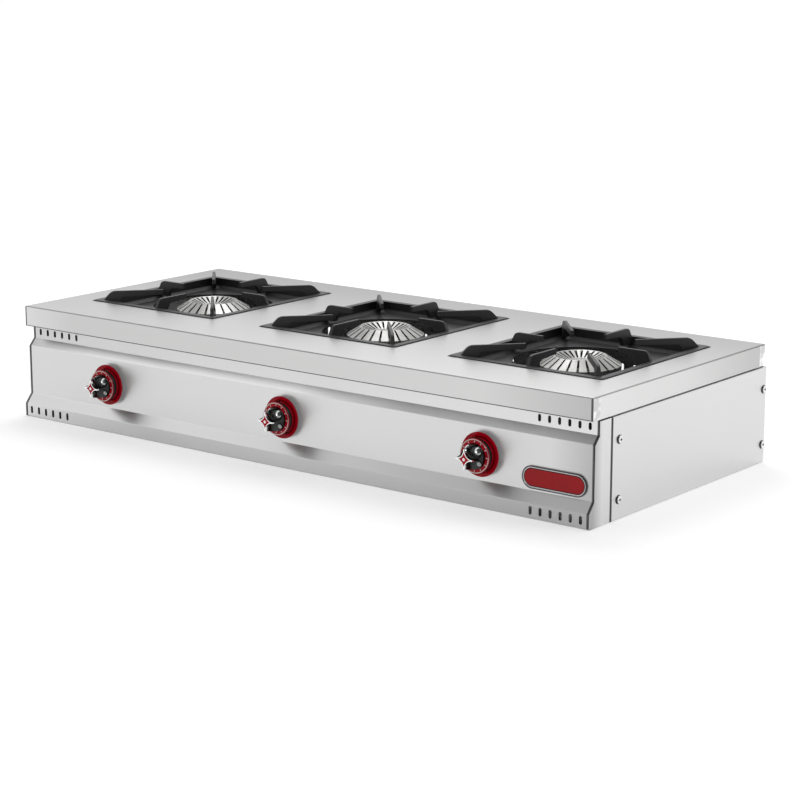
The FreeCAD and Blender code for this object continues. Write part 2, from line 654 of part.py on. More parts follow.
# ---- cooking top ------------------------------------------------------------------------------------
def drip_bowl(x):
    """Pressed bowl: flange under the top plate, ledge for the pan support, sloping walls,
    and a floor with a round hole for the burner."""
    centre = (x, BURNER_BACK)
    flange_z = TOP_UNDER - BOWL_GAUGE
    flange = slab(cutout_wire(x, flange_z, BOWL_FLANGE), BOWL_GAUGE)
    well = slab(cutout_wire(x, LEDGE_Z - BOWL_GAUGE, BOWL_GAUGE), TOP_UNDER - LEDGE_Z + BOWL_GAUGE)
    well_hollow = slab(cutout_wire(x, LEDGE_Z), TOP_HEIGHT - LEDGE_Z)
    ledge_x = CUTOUT_X / 2 - LEDGE_WIDTH
    ledge_y = CUTOUT_Y / 2 - LEDGE_WIDTH
    floor_x = CUTOUT_X / 2 - FLOOR_INSET_X
    floor_y = CUTOUT_Y / 2 - FLOOR_INSET_Y

    def funnel(grow, drop):
        mouth = rounded_rectangle(ledge_x + grow, ledge_y + grow, FLOOR_CORNER + grow,
                                  LEDGE_Z - drop, centre)
        foot = rounded_rectangle(floor_x + grow, floor_y + grow, FLOOR_CORNER + grow,
                                 FLOOR_Z - drop, centre)
        return Part.makeLoft([mouth, foot], True, True)

    outer = funnel(BOWL_GAUGE, BOWL_GAUGE)
    hollow = funnel(0.0, 0.0)
    neck = slab(rounded_rectangle(ledge_x, ledge_y, FLOOR_CORNER, LEDGE_Z - BOWL_GAUGE, centre),
                2 * BOWL_GAUGE)
    shell = joined([flange, well, outer]).cut([well_hollow, neck, hollow])
    axis_low = V(x, BURNER_BACK, FLOOR_Z - BOWL_GAUGE)
    axis_high = V(x, BURNER_BACK, FLOOR_Z + FLOOR_HOLE_ROLL)
    roll = rod(FLOOR_HOLE_RADIUS + BOWL_GAUGE, axis_low, axis_high)
    shell = joined([shell, roll])
    return shell.cut(rod(FLOOR_HOLE_RADIUS, axis_low.sub(Z_AXIS), axis_high.add(Z_AXIS)))


def fin(inner, bar, slope_run, shoulder):
    """One fin along +X from the frame bar to its free end, upright, over the burner's axis.

    inner is its free end, bar the inner side of the frame bar, slope_run the length of the
    rise and shoulder its rounding.  The blade is thicker at its foot than at its top.
    """
    blade_foot = FIN_Z - FIN_BLADE_DEPTH
    arch = bar - ARCH_FROM_BAR
    root = bar + BAR_WIDTH / 2
    outline = [
        V(inner, 0, FIN_Z),
        V(bar - slope_run, 0, FIN_Z),
        V(bar, 0, BAR_TOP - BAR_EDGE_RADIUS),
        V(root, 0, BAR_TOP - BAR_EDGE_RADIUS),
        V(root, 0, BAR_FOOT),
        V(arch, 0, BAR_FOOT),
        V(arch - ARCH_RUN, 0, blade_foot),
        V(inner, 0, blade_foot + FIN_END_RISE),
    ]
    sharp = FIN_SHARP_ROUND
    radii = [0, shoulder, sharp, sharp, sharp, ARCH_FOOT_ROUND, ARCH_RADIUS, 0]
    edges = bend_edges(outline, radii)
    edges.append(Part.makeLine(outline[-1], outline[0]))
    side_view = Part.Face(Part.Wire(Part.__sortEdges__(edges)))
    side_view.translate(V(0, -FIN_FOOT, 0))
    slab_y = side_view.extrude(V(0, 2 * FIN_FOOT, 0))
    top = FIN_TOP / 2
    foot = FIN_FOOT / 2
    section = [V(0, -foot, BAR_FOOT), V(0, foot, BAR_FOOT), V(0, top, FIN_Z), V(0, -top, FIN_Z)]
    wedge = Part.Face(Part.makePolygon(section + [section[0]])).extrude(V(root + bar, 0, 0))
    return slab_y.common(wedge)


def pan_support(x):
    """Cast pan support: a square frame in the cut-out and eight fins round the burner."""
    outer = slab(rounded_rectangle(SUPPORT_X, SUPPORT_Y, CUTOUT_CORNER, BAR_FOOT),
                 BAR_TOP - BAR_FOOT)
    upper = [e for e in outer.Edges if e.BoundBox.ZMin > BAR_TOP - 0.1]
    outer = outer.makeFillet(BAR_EDGE_RADIUS, upper)
    inner_x = SUPPORT_X - BAR_WIDTH
    inner_y = SUPPORT_Y - BAR_WIDTH
    hollow = slab(rounded_rectangle(inner_x, inner_y, CUTOUT_CORNER, BAR_FOOT - 1),
                  BAR_TOP - BAR_FOOT + 2)
    pieces = [outer.cut(hollow)]
    for bar, turn in ((inner_x, 0), (inner_y, 90), (inner_x, 180), (inner_y, 270)):
        side_fin = fin(SIDE_FIN_REACH, bar, SIDE_FIN_RUN, SIDE_FIN_SHOULDER)
        side_fin.rotate(V(0, 0, 0), Z_AXIS, turn)
        pieces.append(side_fin)
    corner = math.hypot(inner_x, inner_y)
    run = (FIN_Z - BAR_TOP + BAR_EDGE_RADIUS) / math.tan(math.radians(CORNER_FIN_SLOPE))
    way = math.degrees(math.atan2(inner_y, inner_x))
    for turn in (way, 180 - way, 180 + way, 360 - way):
        corner_fin = fin(CORNER_FIN_REACH, corner - BAR_WIDTH / 6, run, CORNER_FIN_SHOULDER)
        corner_fin.rotate(V(0, 0, 0), Z_AXIS, turn)
        pieces.append(corner_fin)
    whole = joined(pieces)
    whole.translate(V(x, BURNER_BACK, 0))
    return whole


def port_cutters(inner, outer, low, high):
    """Slots round the burner's axis between two distances from it, with radial sides; the
    port's width is the one half way along."""
    half = PORT_WIDTH / (inner + outer)
    corners = [V(inner, -inner * half, low), V(outer, -outer * half, low),
               V(outer, outer * half, low), V(inner, inner * half, low)]
    wedge = Part.Face(Part.makePolygon(corners + [corners[0]])).extrude(V(0, 0, high - low))
    cutters = []
    for i in range(PORT_COUNT):
        port = wedge.copy()
        port.rotate(V(0, 0, 0), Z_AXIS, 360.0 * i / PORT_COUNT)
        cutters.append(port)
    return cutters


def burner_cap(x):
    """Crown-shaped flame spreader: a slotted flank, a rounded crown and a slotted funnel."""
    base = CAP_FOOT
    crown = base + CAP_RISE
    hub = crown - CAP_HUB_DROP
    edge = CAP_EDGE_HEIGHT
    lean = math.atan2(CAP_RISE - edge, CAP_RADIUS - CROWN_RADIUS)
    under = CAP_WALL / math.cos(lean)
    seat = CAP_RADIUS - CUP_WALL + CAP_SPIGOT_CLEARANCE
    slope = math.tan(lean)
    profile = [
        V(CAP_RADIUS, 0, base),
        V(CAP_RADIUS, 0, base + edge),
        V(CROWN_RADIUS, 0, crown),
        V(CAP_HUB_RADIUS, 0, hub),
        V(0, 0, hub),
    ]
    radii = [0, CAP_EDGE_ROUND, CROWN_ROUND, CAP_FUNNEL_ROUND, 0]
    edges = bend_edges(profile, radii)
    underside = [
        V(0, 0, hub),
        V(0, 0, hub - CAP_WALL),
        V(CAP_HUB_RADIUS, 0, hub - CAP_WALL),
        V(CROWN_RADIUS, 0, crown - under),
        V(seat, 0, base + edge + (CAP_RADIUS - seat) * slope - CAP_WALL),
        V(seat, 0, base),
        V(CAP_RADIUS, 0, base),
    ]
    edges += [Part.makeLine(a, b) for a, b in zip(underside, underside[1:])]
    face = Part.Face(Part.Wire(Part.__sortEdges__(edges)))
    shell = face.revolve(V(0, 0, 0), Z_AXIS, 360)
    high = crown + CAP_WALL
    low = base - CAP_WALL
    flank = port_cutters(CROWN_RADIUS + PORT_MARGIN, CAP_RADIUS - PORT_MARGIN, low, high)
    funnel = port_cutters(CAP_HUB_RADIUS + PORT_MARGIN, CROWN_RADIUS - PORT_MARGIN, low, high)
    shell = shell.cut(flank + funnel)
    spigot_outer = seat - CAP_SPIGOT_CLEARANCE * 2
    spigot_inner = spigot_outer - CAP_SPIGOT_WALL
    spigot_foot = base - CAP_SPIGOT_LENGTH
    within_wall = base + edge - CAP_WALL / 2
    ring = revolved([(spigot_inner, spigot_foot), (spigot_outer, spigot_foot),
                     (spigot_outer, within_wall + (CAP_RADIUS - spigot_outer) * slope),
                     (spigot_inner, within_wall + (CAP_RADIUS - spigot_inner) * slope)],
                    V(0, 0, 0), Z_AXIS, X_AXIS)
    whole = joined([shell, ring])
    whole.translate(V(x, BURNER_BACK, 0))
    return whole


def burner_body(x):
    """Cast burner: cup under the cap, mixing tube to the front, yoke for the injector and
    lugs that rest on the two rails."""
    axis = V(x, BURNER_BACK, 0)
    cup = revolved([(0, CUP_FOOT), (CUP_FOOT_RADIUS, CUP_FOOT),
                    (CAP_RADIUS, CAP_SEAT - CUP_WALL), (CAP_RADIUS, CAP_SEAT), (0, CAP_SEAT)],
                   axis, Z_AXIS, X_AXIS)
    inner = CAP_RADIUS - CUP_WALL
    bore = TUBE_RADIUS - TUBE_WALL
    cavity = revolved([(0, CUP_FOOT + CUP_WALL), (CUP_FOOT_RADIUS - CUP_WALL, CUP_FOOT + CUP_WALL),
                       (inner, CAP_SEAT - CUP_WALL), (inner, CAP_SEAT + 1), (0, CAP_SEAT + 1)],
                      axis, Z_AXIS, X_AXIS)
    mouth = V(x, TUBE_MOUTH_Y, TUBE_Z)
    tube = rod(TUBE_RADIUS, mouth, V(x, BURNER_BACK, TUBE_Z))
    bell = revolved([(0, 0), (TUBE_BELL_RADIUS, 0), (TUBE_BELL_RADIUS, TUBE_BELL_LENGTH / 2),
                     (TUBE_RADIUS, TUBE_BELL_LENGTH), (0, TUBE_BELL_LENGTH)],
                    mouth, Y_AXIS, X_AXIS)
    passage = rod(bore, mouth.sub(Y_AXIS), V(x, BURNER_BACK, TUBE_Z))
    funnel = revolved([(0, -1), (TUBE_BELL_RADIUS - 1, -1), (bore, TUBE_BELL_LENGTH),
                       (0, TUBE_BELL_LENGTH)], mouth, Y_AXIS, X_AXIS)
    reach = RAIL_OFFSET + RAIL_WIDTH / 3
    lugs = box(x - LUG_WIDTH / 2, x + LUG_WIDTH / 2, BURNER_BACK - reach, BURNER_BACK + reach,
               RAIL_TOP, CUP_FOOT + CUP_WALL / 2)
    arm_inner = TUBE_BELL_RADIUS - YOKE_THICKNESS / 4
    arm_outer = arm_inner + YOKE_THICKNESS
    half_arm = YOKE_ARM_HEIGHT / 2
    arms = both_sides(box(arm_inner, arm_outer, YOKE_Y - YOKE_THICKNESS,
                          TUBE_MOUTH_Y + TUBE_BELL_LENGTH / 3, TUBE_Z - half_arm, TUBE_Z + half_arm))
    for arm in arms:
        arm.translate(V(x, 0, 0))
    plate = box(x - arm_outer, x + arm_outer, YOKE_Y - YOKE_THICKNESS, YOKE_Y,
                TUBE_Z - YOKE_HEIGHT / 2, TUBE_Z + YOKE_HEIGHT / 2)
    hole = INJECTOR_THREAD_RADIUS + SCREW_HOLE_CLEARANCE
    thread = rod(hole, V(x, YOKE_Y - 2 * YOKE_THICKNESS, TUBE_Z), V(x, YOKE_Y + 1, TUBE_Z))
    whole = joined([cup, tube, bell, lugs, plate] + arms)
    return whole.cut([cavity, passage, funnel, thread])


def burner_rail(side):
    """Channel across the body, in front of (-1) or behind (+1) the burners' axes."""
    y = BURNER_BACK + side * RAIL_OFFSET
    half = RAIL_WIDTH / 2
    low = RAIL_TOP - RAIL_DEPTH
    reach = SIDE - BODY_GAUGE - PAN_CLEARANCE
    outline = [(y + half, low), (y + half, RAIL_TOP), (y - half, RAIL_TOP), (y - half, low)]
    section = bent_sheet(outline, RAIL_GAUGE, BEND_RADIUS, lambda u, v: V(-reach, u, v))
    return section.extrude(V(2 * reach, 0, 0))


# ---- gas train ------------------------------------------------------------------------------------------
def inlet_x():
    return SIDE - INLET_INSET


def gas_manifold():
    """Main pipe under the valves: closed at the left, bent to the back at the right, and
    threaded where it leaves the back panel."""
    y = FEED_Y
    left = V(BURNER_X[0] - PIPE_END_MARGIN, y, PIPE_HEIGHT)
    bend_start = V(inlet_x() - PIPE_BEND, y, PIPE_HEIGHT)
    bend_end = V(inlet_x(), y + PIPE_BEND, PIPE_HEIGHT)
    thread_start = V(inlet_x(), BODY_BACK + 1, PIPE_HEIGHT)
    tip = V(inlet_x(), BODY_BACK + 1 + INLET_THREAD_LENGTH, PIPE_HEIGHT)

    def run(radius, past_tip):
        disc = Part.Face(Part.Wire(Part.makeCircle(radius, bend_start, X_AXIS)))
        elbow = disc.revolve(V(bend_start.x, bend_end.y, PIPE_HEIGHT), Z_AXIS, 90)
        start = left if past_tip == 0 else left.add(V(PIPE_WALL, 0, 0))
        end = thread_start if past_tip == 0 else tip.add(V(0, past_tip, 0))
        return rod(radius, start, bend_start).fuse([elbow, rod(radius, bend_end, end)])

    outside = run(PIPE_RADIUS, 0).fuse(rod(INLET_THREAD_RADIUS, thread_start, tip))
    return outside.cut(run(PIPE_RADIUS - PIPE_WALL, 1)).removeSplitter()


def manifold_brackets():
    """Angle brackets on the floor pan, each with a hole round the pipe."""
    beside_valve = BURNER_PITCH / 4
    places = [x + beside_valve for x in BURNER_X[:-1]] + [BURNER_X[-1] - beside_valve]
    half = FEED_Y - PANEL_INNER - PAN_CLEARANCE
    solids = []
    for x in places:
        foot = box(x, x + BRACKET_FOOT, FEED_Y - half, FEED_Y + half, BODY_GAUGE,
                   BODY_GAUGE + BRACKET_THICKNESS)
        web = box(x, x + BRACKET_THICKNESS, FEED_Y - half, FEED_Y + half, BODY_GAUGE,
                  PIPE_HEIGHT + half)
        hole = rod(PIPE_RADIUS + BRACKET_CLEARANCE, V(x - 1, FEED_Y, PIPE_HEIGHT),
                   V(x + BRACKET_THICKNESS + 1, FEED_Y, PIPE_HEIGHT))
        solids.append(joined([foot, web]).cut(hole))
    return Part.makeCompound(solids)


def injector(x):
    """Brass gas jet: hexagon in front of the yoke, thread through it, drilled nose."""
    start = V(x, INJECTOR_Y, TUBE_Z)
    corner = INJECTOR_HEX / math.sqrt(3)
    turns = [math.radians(60 * i) for i in range(7)]
    ring = [start.add(V(corner * math.cos(t), 0, corner * math.sin(t))) for t in turns]
    hexagon = Part.Face(Part.makePolygon(ring)).extrude(V(0, INJECTOR_HEX_LENGTH, 0))
    thread_end = YOKE_Y + INJECTOR_NOSE_LENGTH / 4
    stem = rod(INJECTOR_THREAD_RADIUS, start.add(V(0, INJECTOR_HEX_LENGTH, 0)), V(x, thread_end, TUBE_Z))
    nose = Part.makeCone(INJECTOR_THREAD_RADIUS, INJECTOR_NOSE_RADIUS, INJECTOR_NOSE_LENGTH,
                         V(x, thread_end, TUBE_Z), Y_AXIS)
    whole = joined([hexagon, stem, nose])
    drilling = rod(FEED_RADIUS - FEED_WALL, start.sub(Y_AXIS), V(x, thread_end, TUBE_Z))
    jet = rod(ORIFICE_RADIUS, start, V(x, thread_end + INJECTOR_NOSE_LENGTH + 1, TUBE_Z))
    return whole.cut([drilling, jet])


def feed_pipe(x):
    """Small pipe from the valve's outlet up and back to the injector."""
    foot = V(x, FEED_Y, KNOB_Z + OUTLET_HEIGHT)
    bend_start = V(x, FEED_Y, TUBE_Z - FEED_BEND)
    bend_centre = V(x, INJECTOR_Y, TUBE_Z - FEED_BEND)

    def run(radius):
        disc = Part.Face(Part.Wire(Part.makeCircle(radius, bend_start, Z_AXIS)))
        elbow = disc.revolve(bend_centre, V(-1, 0, 0), 90)
        return rod(radius, foot, bend_start).fuse(elbow)

    return run(FEED_RADIUS).cut(run(FEED_RADIUS - FEED_WALL)).removeSplitter()


def gas_valve(x):
    """Brass valve body behind the panel: bore for the plug, inlet boss on the main pipe and
    outlet boss on top."""
    nose = V(x, PANEL_INNER, KNOB_Z)
    barrel = rod(VALVE_RADIUS, nose, nose.add(V(0, VALVE_LENGTH, 0)))
    flange = rod(VALVE_FLANGE_RADIUS, nose, nose.add(V(0, VALVE_FLANGE_THICKNESS, 0)))
    inlet_foot = V(x, FEED_Y, PIPE_HEIGHT)
    inlet = rod(VALVE_BOSS_RADIUS, inlet_foot, V(x, FEED_Y, KNOB_Z))
    outlet = rod(VALVE_BOSS_RADIUS, V(x, FEED_Y, KNOB_Z), V(x, FEED_Y, KNOB_Z + OUTLET_HEIGHT))
    whole = joined([barrel, flange, inlet, outlet])
    saddle = rod(PIPE_RADIUS, V(x - PIPE_RADIUS, FEED_Y, PIPE_HEIGHT),
                 V(x + PIPE_RADIUS, FEED_Y, PIPE_HEIGHT))
    below = box(x - PIPE_RADIUS, x + PIPE_RADIUS, FEED_Y - PIPE_RADIUS, FEED_Y + PIPE_RADIUS,
                PIPE_HEIGHT - PIPE_RADIUS, PIPE_HEIGHT)
    gas_way = rod(FEED_RADIUS - FEED_WALL, V(x, FEED_Y, PIPE_HEIGHT),
                  V(x, FEED_Y, KNOB_Z + OUTLET_HEIGHT + 1))
    chamber = Part.makeCone(PLUG_NOSE_RADIUS + PLUG_CLEARANCE, PLUG_TAIL_RADIUS + PLUG_CLEARANCE,
                            PLUG_LENGTH + 2 * PLUG_CLEARANCE,
                            V(x, PLUG_Y - PLUG_CLEARANCE, KNOB_Z), Y_AXIS)
    neck = rod(SPINDLE_RADIUS + SPINDLE_HOLE_CLEARANCE, nose.sub(Y_AXIS), V(x, PLUG_Y + 1, KNOB_Z))
    return whole.cut([saddle, below, gas_way, chamber, neck])


def spindle_section(clearance, y, x):
    """D-shaped section of the spindle, grown by a clearance."""
    radius = SPINDLE_RADIUS + clearance
    flat = SPINDLE_FLAT + clearance
    across = math.sqrt(radius * radius - flat * flat)
    first = V(x - across, y, KNOB_Z + flat)
    last = V(x + across, y, KNOB_Z + flat)
    low = V(x, y, KNOB_Z - radius)
    arc = Part.Arc(first, low, last).toShape()
    return Part.Face(Part.Wire([arc, Part.makeLine(last, first)]))


def valve_plug(x):
    """Tapered plug that turns in the valve body, with a cross port and a D-shaped socket."""
    cone = Part.makeCone(PLUG_NOSE_RADIUS, PLUG_TAIL_RADIUS, PLUG_LENGTH, V(x, PLUG_Y, KNOB_Z), Y_AXIS)
    depth = SPINDLE_DEPTH + PUSH_TRAVEL + SPINDLE_CLEARANCE
    socket = spindle_section(SPINDLE_CLEARANCE, PLUG_Y - 1, x).extrude(V(0, depth + 1, 0))
    return cone.cut(socket)


def spindle(x):
    """D-shaped shaft from the plug to the knob."""
    start = PLUG_Y + SPINDLE_DEPTH
    return spindle_section(0.0, start, x).extrude(V(0, SPINDLE_TIP_Y - start, 0))


# ---- what the hand meets -------------------------------------------------------------------------------
def bezel(x):
    """Round escutcheon: a narrow foot on the panel flares out to a rounded ring, which stands
    round a sunk floor."""
    ring_inner = BEZEL_RADIUS - BEZEL_RING
    hole = SPINDLE_RADIUS + SPINDLE_HOLE_CLEARANCE
    profile = [
        V(hole, 0, 0),
        V(BEZEL_FOOT_RADIUS, 0, 0),
        V(BEZEL_RADIUS, 0, BEZEL_FLARE),
        V(BEZEL_RADIUS, 0, BEZEL_DEPTH),
        V(ring_inner, 0, BEZEL_DEPTH - BEZEL_DISH),
        V(ring_inner - BEZEL_DISH, 0, BEZEL_FLOOR),
        V(hole, 0, BEZEL_FLOOR),
    ]
    radii = [0, BEZEL_FOOT_ROUND, BEZEL_FLARE_ROUND, BEZEL_ROUND, BEZEL_DISH_ROUND,
             BEZEL_FLOOR_ROUND, 0]
    edges = bend_edges(profile, radii)
    edges.append(Part.makeLine(profile[-1], profile[0]))
    face = Part.Face(Part.Wire(Part.__sortEdges__(edges)))
    ring = face.revolve(V(0, 0, 0), Z_AXIS, 360)
    return facing_front(ring, x, PANEL_Y)


def facing_front(shape, x, y):
    """Turn a shape built along +Z to point out of the panel at a burner's knob."""
    shape.rotate(V(0, 0, 0), X_AXIS, 90)
    shape.translate(V(x, y, KNOB_Z))
    return shape


def knob_skirt(x):
    """Round skirt of the knob on a waisted collar, with a D-shaped socket at its back."""
    profile = [
        V(0, 0, 0),
        V(KNOB_RIM_RADIUS, 0, 0),
        V(KNOB_RIM_RADIUS, 0, KNOB_RIM_DEPTH),
        V(KNOB_WAIST_RADIUS, 0, KNOB_RIM_DEPTH + KNOB_ROUND),
        V(KNOB_WAIST_RADIUS, 0, KNOB_WAIST_END),
        V(SKIRT_RADIUS, 0, SKIRT_BACK),
        V(SKIRT_RADIUS, 0, SKIRT_DEPTH),
        V(0, 0, SKIRT_DEPTH),
    ]
    small = KNOB_ROUND / 2
    edges = bend_edges(profile, [0, KNOB_ROUND, KNOB_ROUND, small, small, KNOB_ROUND, SKIRT_ROUND, 0])
    edges.append(Part.makeLine(profile[-1], profile[0]))
    skirt = Part.Face(Part.Wire(Part.__sortEdges__(edges))).revolve(V(0, 0, 0), Z_AXIS, 360)
    skirt = facing_front(skirt, x, KNOB_BACK_Y)
    start = KNOB_BACK_Y + 1
    socket = spindle_section(0.0, start, x).extrude(V(0, SPINDLE_TIP_Y - start, 0))
    return skirt.cut(socket)


def knob_grip(x):
    """Tapered grip on the skirt's front: four scallops leave a star with four points."""
    grip = Part.makeCone(GRIP_BASE_RADIUS, GRIP_FRONT_RADIUS, GRIP_DEPTH)
    reach = SCALLOP_RADIUS + GRIP_WAIST
    scallops = []
    for i in range(SCALLOP_COUNT):
        turn = math.radians(360.0 * (i + 0.5) / SCALLOP_COUNT)
        centre = V(reach * math.cos(turn), reach * math.sin(turn), SCALLOP_RADIUS + SCALLOP_FLOOR)
        lean = V(SCALLOP_LEAN * math.cos(turn), SCALLOP_LEAN * math.sin(turn), 1)
        scallops.append(Part.makeCylinder(SCALLOP_RADIUS, 2 * GRIP_DEPTH, centre, lean))
        scallops.append(Part.makeSphere(SCALLOP_RADIUS, centre))
    return facing_front(grip.cut(scallops), x, GRIP_Y)


def badge_plate():
    """Bare stadium-shaped plate with a raised rim."""
    centre = V(SIDE - BADGE_FROM_END, PANEL_Y, BADGE_CENTRE)

    def stadium(length, height, thick):
        radius = height / 2
        wire = rounded_rectangle(length / 2, radius, radius - 0.05, 0.0)
        return slab(wire, thick)

    full = stadium(BADGE_LENGTH, BADGE_HEIGHT, BADGE_THICKNESS + BADGE_RIM_HEIGHT)
    inside = stadium(BADGE_LENGTH - 2 * BADGE_RIM_WIDTH, BADGE_HEIGHT - 2 * BADGE_RIM_WIDTH,
                     2 * BADGE_RIM_HEIGHT)
    inside.translate(V(0, 0, BADGE_THICKNESS))
    plate = full.cut(inside)
    plate.rotate(V(0, 0, 0), X_AXIS, 90)
    plate.translate(centre)
    return plate


# ---- the assembly --------------------------------------------------------------------------------------
def all_pieces():
    """Every node's name and shape."""
    right_cheek = cheek()
    right_side = side_panel()
    pieces = {
        "top_plate": top_plate(),
        "front_fascia": front_fascia(),
        "fascia_cheek_right": right_cheek,
        "fascia_cheek_left": mirrored(right_cheek),
        "side_panel_right": right_side,
        "side_panel_left": mirrored(right_side),
        "back_panel": back_panel(),
        "floor_pan": floor_pan(),
        "side_screws": side_screws(),
        "back_screws": back_screws(),
        "badge_plate": badge_plate(),
        "front_burner_rail": burner_rail(-1),
        "rear_burner_rail": burner_rail(1),
        "gas_manifold": gas_manifold(),
        "manifold_brackets": manifold_brackets(),
    }
    makers = {
        "drip_bowl": drip_bowl,
        "pan_support": pan_support,
        "burner_cap": burner_cap,
        "burner_body": burner_body,
        "injector": injector,
        "feed_pipe": feed_pipe,
        "gas_valve": gas_valve,
        "valve_plug": valve_plug,
        "valve_spindle": spindle,
        "knob_bezel": bezel,
        "knob_skirt": knob_skirt,
        "knob_grip": knob_grip,
    }
    for kind, maker in makers.items():
        for name, x in zip(BURNER_NAMES, BURNER_X):
            pieces[kind + "_" + name] = maker(x)
    return pieces


def main():
    os.makedirs("parts", exist_ok=True)
    for name, shape in all_pieces().items():
        shape.exportStep("parts/" + name + ".step")
        print(name, "solids", len(shape.Solids), "valid", shape.isValid(),
              "volume", round(shape.Volume), "box", shape.BoundBox)


main()
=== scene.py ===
"""Looks of a counter-top wok range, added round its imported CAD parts.

Lengths are in metres: +X to the user's right, +Y to the back, +Z up, the table at zero.
"""
import math

import bmesh
import bpy
from bpy.props import FloatProperty, FloatVectorProperty, IntProperty, PointerProperty
from mathutils import Matrix, Vector


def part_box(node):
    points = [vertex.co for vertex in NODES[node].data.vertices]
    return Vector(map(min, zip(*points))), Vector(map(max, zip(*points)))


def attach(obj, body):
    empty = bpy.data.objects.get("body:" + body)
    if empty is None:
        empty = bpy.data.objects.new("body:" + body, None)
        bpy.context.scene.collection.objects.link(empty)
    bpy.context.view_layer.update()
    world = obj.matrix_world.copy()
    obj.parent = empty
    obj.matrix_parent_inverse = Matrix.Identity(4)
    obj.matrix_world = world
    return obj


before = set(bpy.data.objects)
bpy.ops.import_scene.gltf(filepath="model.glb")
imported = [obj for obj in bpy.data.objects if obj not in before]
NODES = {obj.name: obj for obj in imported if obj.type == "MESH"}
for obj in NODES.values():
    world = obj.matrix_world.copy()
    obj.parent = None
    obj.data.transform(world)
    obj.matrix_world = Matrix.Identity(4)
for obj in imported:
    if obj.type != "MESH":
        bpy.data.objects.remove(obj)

bl_info = {
    "name": "Counter-top wok range",
    "version": (1, 0, 0),
    "blender": (4, 5, 0),
    "location": "View3D > Sidebar > Range",
    "description": "Finishes and small trim of a three-burner wok range",
    "category": "Object",
}

BURNERS = ("left", "middle", "right")
MM = 0.001

# ---- numbers of the finishes and the stage -----------------------------------------------------
FACE_SLACK = 0.6 * MM        # a point this near to a box's side counts as on that face
FOLD_WIDTH = 1.8 * MM        # strip of painted shade along the folds of the top
LIP_CORNER = 4.4 * MM        # strip of painted shade at the ends of the lip's front
LIP_PAINTED_LIGHT = ((-0.60, 1.20), (-0.48, 1.0), (0.40, 0.97), (0.60, 0.72))     # painted light along X, on the lip's front
TOP_PAINTED_LIGHT = ((-0.25, 1.03), (0.0, 1.03), (0.20, 0.87), (0.25, 0.85))      # painted light along Y, on the top

FASCIA_END = 2.6 * MM        # strip of painted shade at the ends of the fascia
FASCIA_PAINTED_LIGHT = (             # foot of each folded face, and its painted light along X
    (-1.0, ((-0.60, 1.0), (-0.30, 0.80), (0.0, 0.85), (0.60, 0.68))),
    (0.0245, ((-0.60, 0.80), (-0.05, 1.0), (0.30, 0.90), (0.60, 0.85))),
    (0.0400, ((-0.60, 0.97), (0.10, 1.05), (0.52, 1.03), (0.60, 0.70))),
    (0.1268, ((-0.60, 0.60), (-0.45, 1.10), (0.02, 1.55), (0.25, 0.95), (0.50, 1.0),
              (0.60, 0.70))),
    (0.1390, ((-0.60, 0.87), (-0.20, 1.0), (0.60, 1.15))),
)
CHEEK_SHADE_FADE = (8 * MM, 24 * MM)       # where the painted shade on the cheek's front starts to fade, and how far

PORT_ROWS = ((0.31, 0.60), (0.64, 1.01))     # inner and outer ends of a cap's ports, in radii
# painted shade inside the caps' ports
PORT_PAINTED_SHADE = (0.10, 0.098, 0.095)

BEZEL_FOOT_RADIUS = 27.3 * MM        # the pale foot lies beyond this radius
BEZEL_FOOT_DEPTH = 1.9 * MM  # and this far behind the bezel's front
SKIRT_FACE_DEPTH = 1.4 * MM  # the skirt's side is black behind this,
SKIRT_BACK_DEPTH = 3.5 * MM  # up to this far from its back
TICK_COUNT = 12
TICK_RADIUS = 22.9 * MM
TICK_REACH = 1.3 * MM        # half a tick's length
TICK_TURN = 0.032            # half a tick's width, in radians
HOLLOW_CENTRE = 10.5 * MM    # of the grip's hollows, along both axes
HOLLOW_REACH = (2.0 * MM, 4.8 * MM)  # radius of the painted highlight rings in the lower and upper hollows
HOLLOW_PAINTED_GLINT = (0.45, 0.9)   # strength of those painted highlights
RING_INSET = 0.8 * MM        # gap between the skirt's edge and its ring
INSET_HOLLOW, SPOT_HOLLOW = 2.0, 0.3         # how far the stars' sides are pulled in
SPOT_SHARE = 0.24            # the spot's reach, as a share of the inset's
BADGE_LINE, BADGE_RIM, BADGE_EDGE = 4.9 * MM, 3.3 * MM, 1.8 * MM     # in from the plate's edge

SKY_LIGHT = (                # levels of the sky from the horizon to the zenith, as light
    (0.0, 0.90), (0.30, 0.88), (0.55, 0.70), (0.75, 0.56), (1.0, 0.45))
SKY_SEEN = (                 # and as it is seen
    (0.0, 1.0), (0.36, 1.0), (0.60, 0.72), (0.78, 0.52), (1.0, 0.46))
LAMPS = (                    # name, place, aim, size and watts
    ("key_above", (-0.85, 1.10, 2.75), (0.0, 0.0, 0.1), 1.5, 24.0),
    ("front_spot", (2.0, -2.9, 2.3), (0.0, 0.0, 0.1), 0.55, 12.0),
    ("fill_left", (-2.8, -1.2, 1.9), (-0.2, 0.0, 0.1), 1.6, 6.0),
    ("fill_right", (2.3, 0.9, 1.7), (0.9, 0.2, 0.0), 1.2, 9.0),
)
FLOOR_GLOW = (0.34, 0.52)    # glow of the floor near the range and far off
FLOOR_FADE = (0.9, 4.0)      # distances from the middle between which it grows

CAMERA_AZIMUTH, CAMERA_ELEVATION = 38.047, 12.834    # degrees
CAMERA_PLACE = (0.035337, 0.065027, 3.876121)        # along its right, up and back
CAMERA_FOCUS = 2261.029      # pixels, in a picture 800 pixels wide


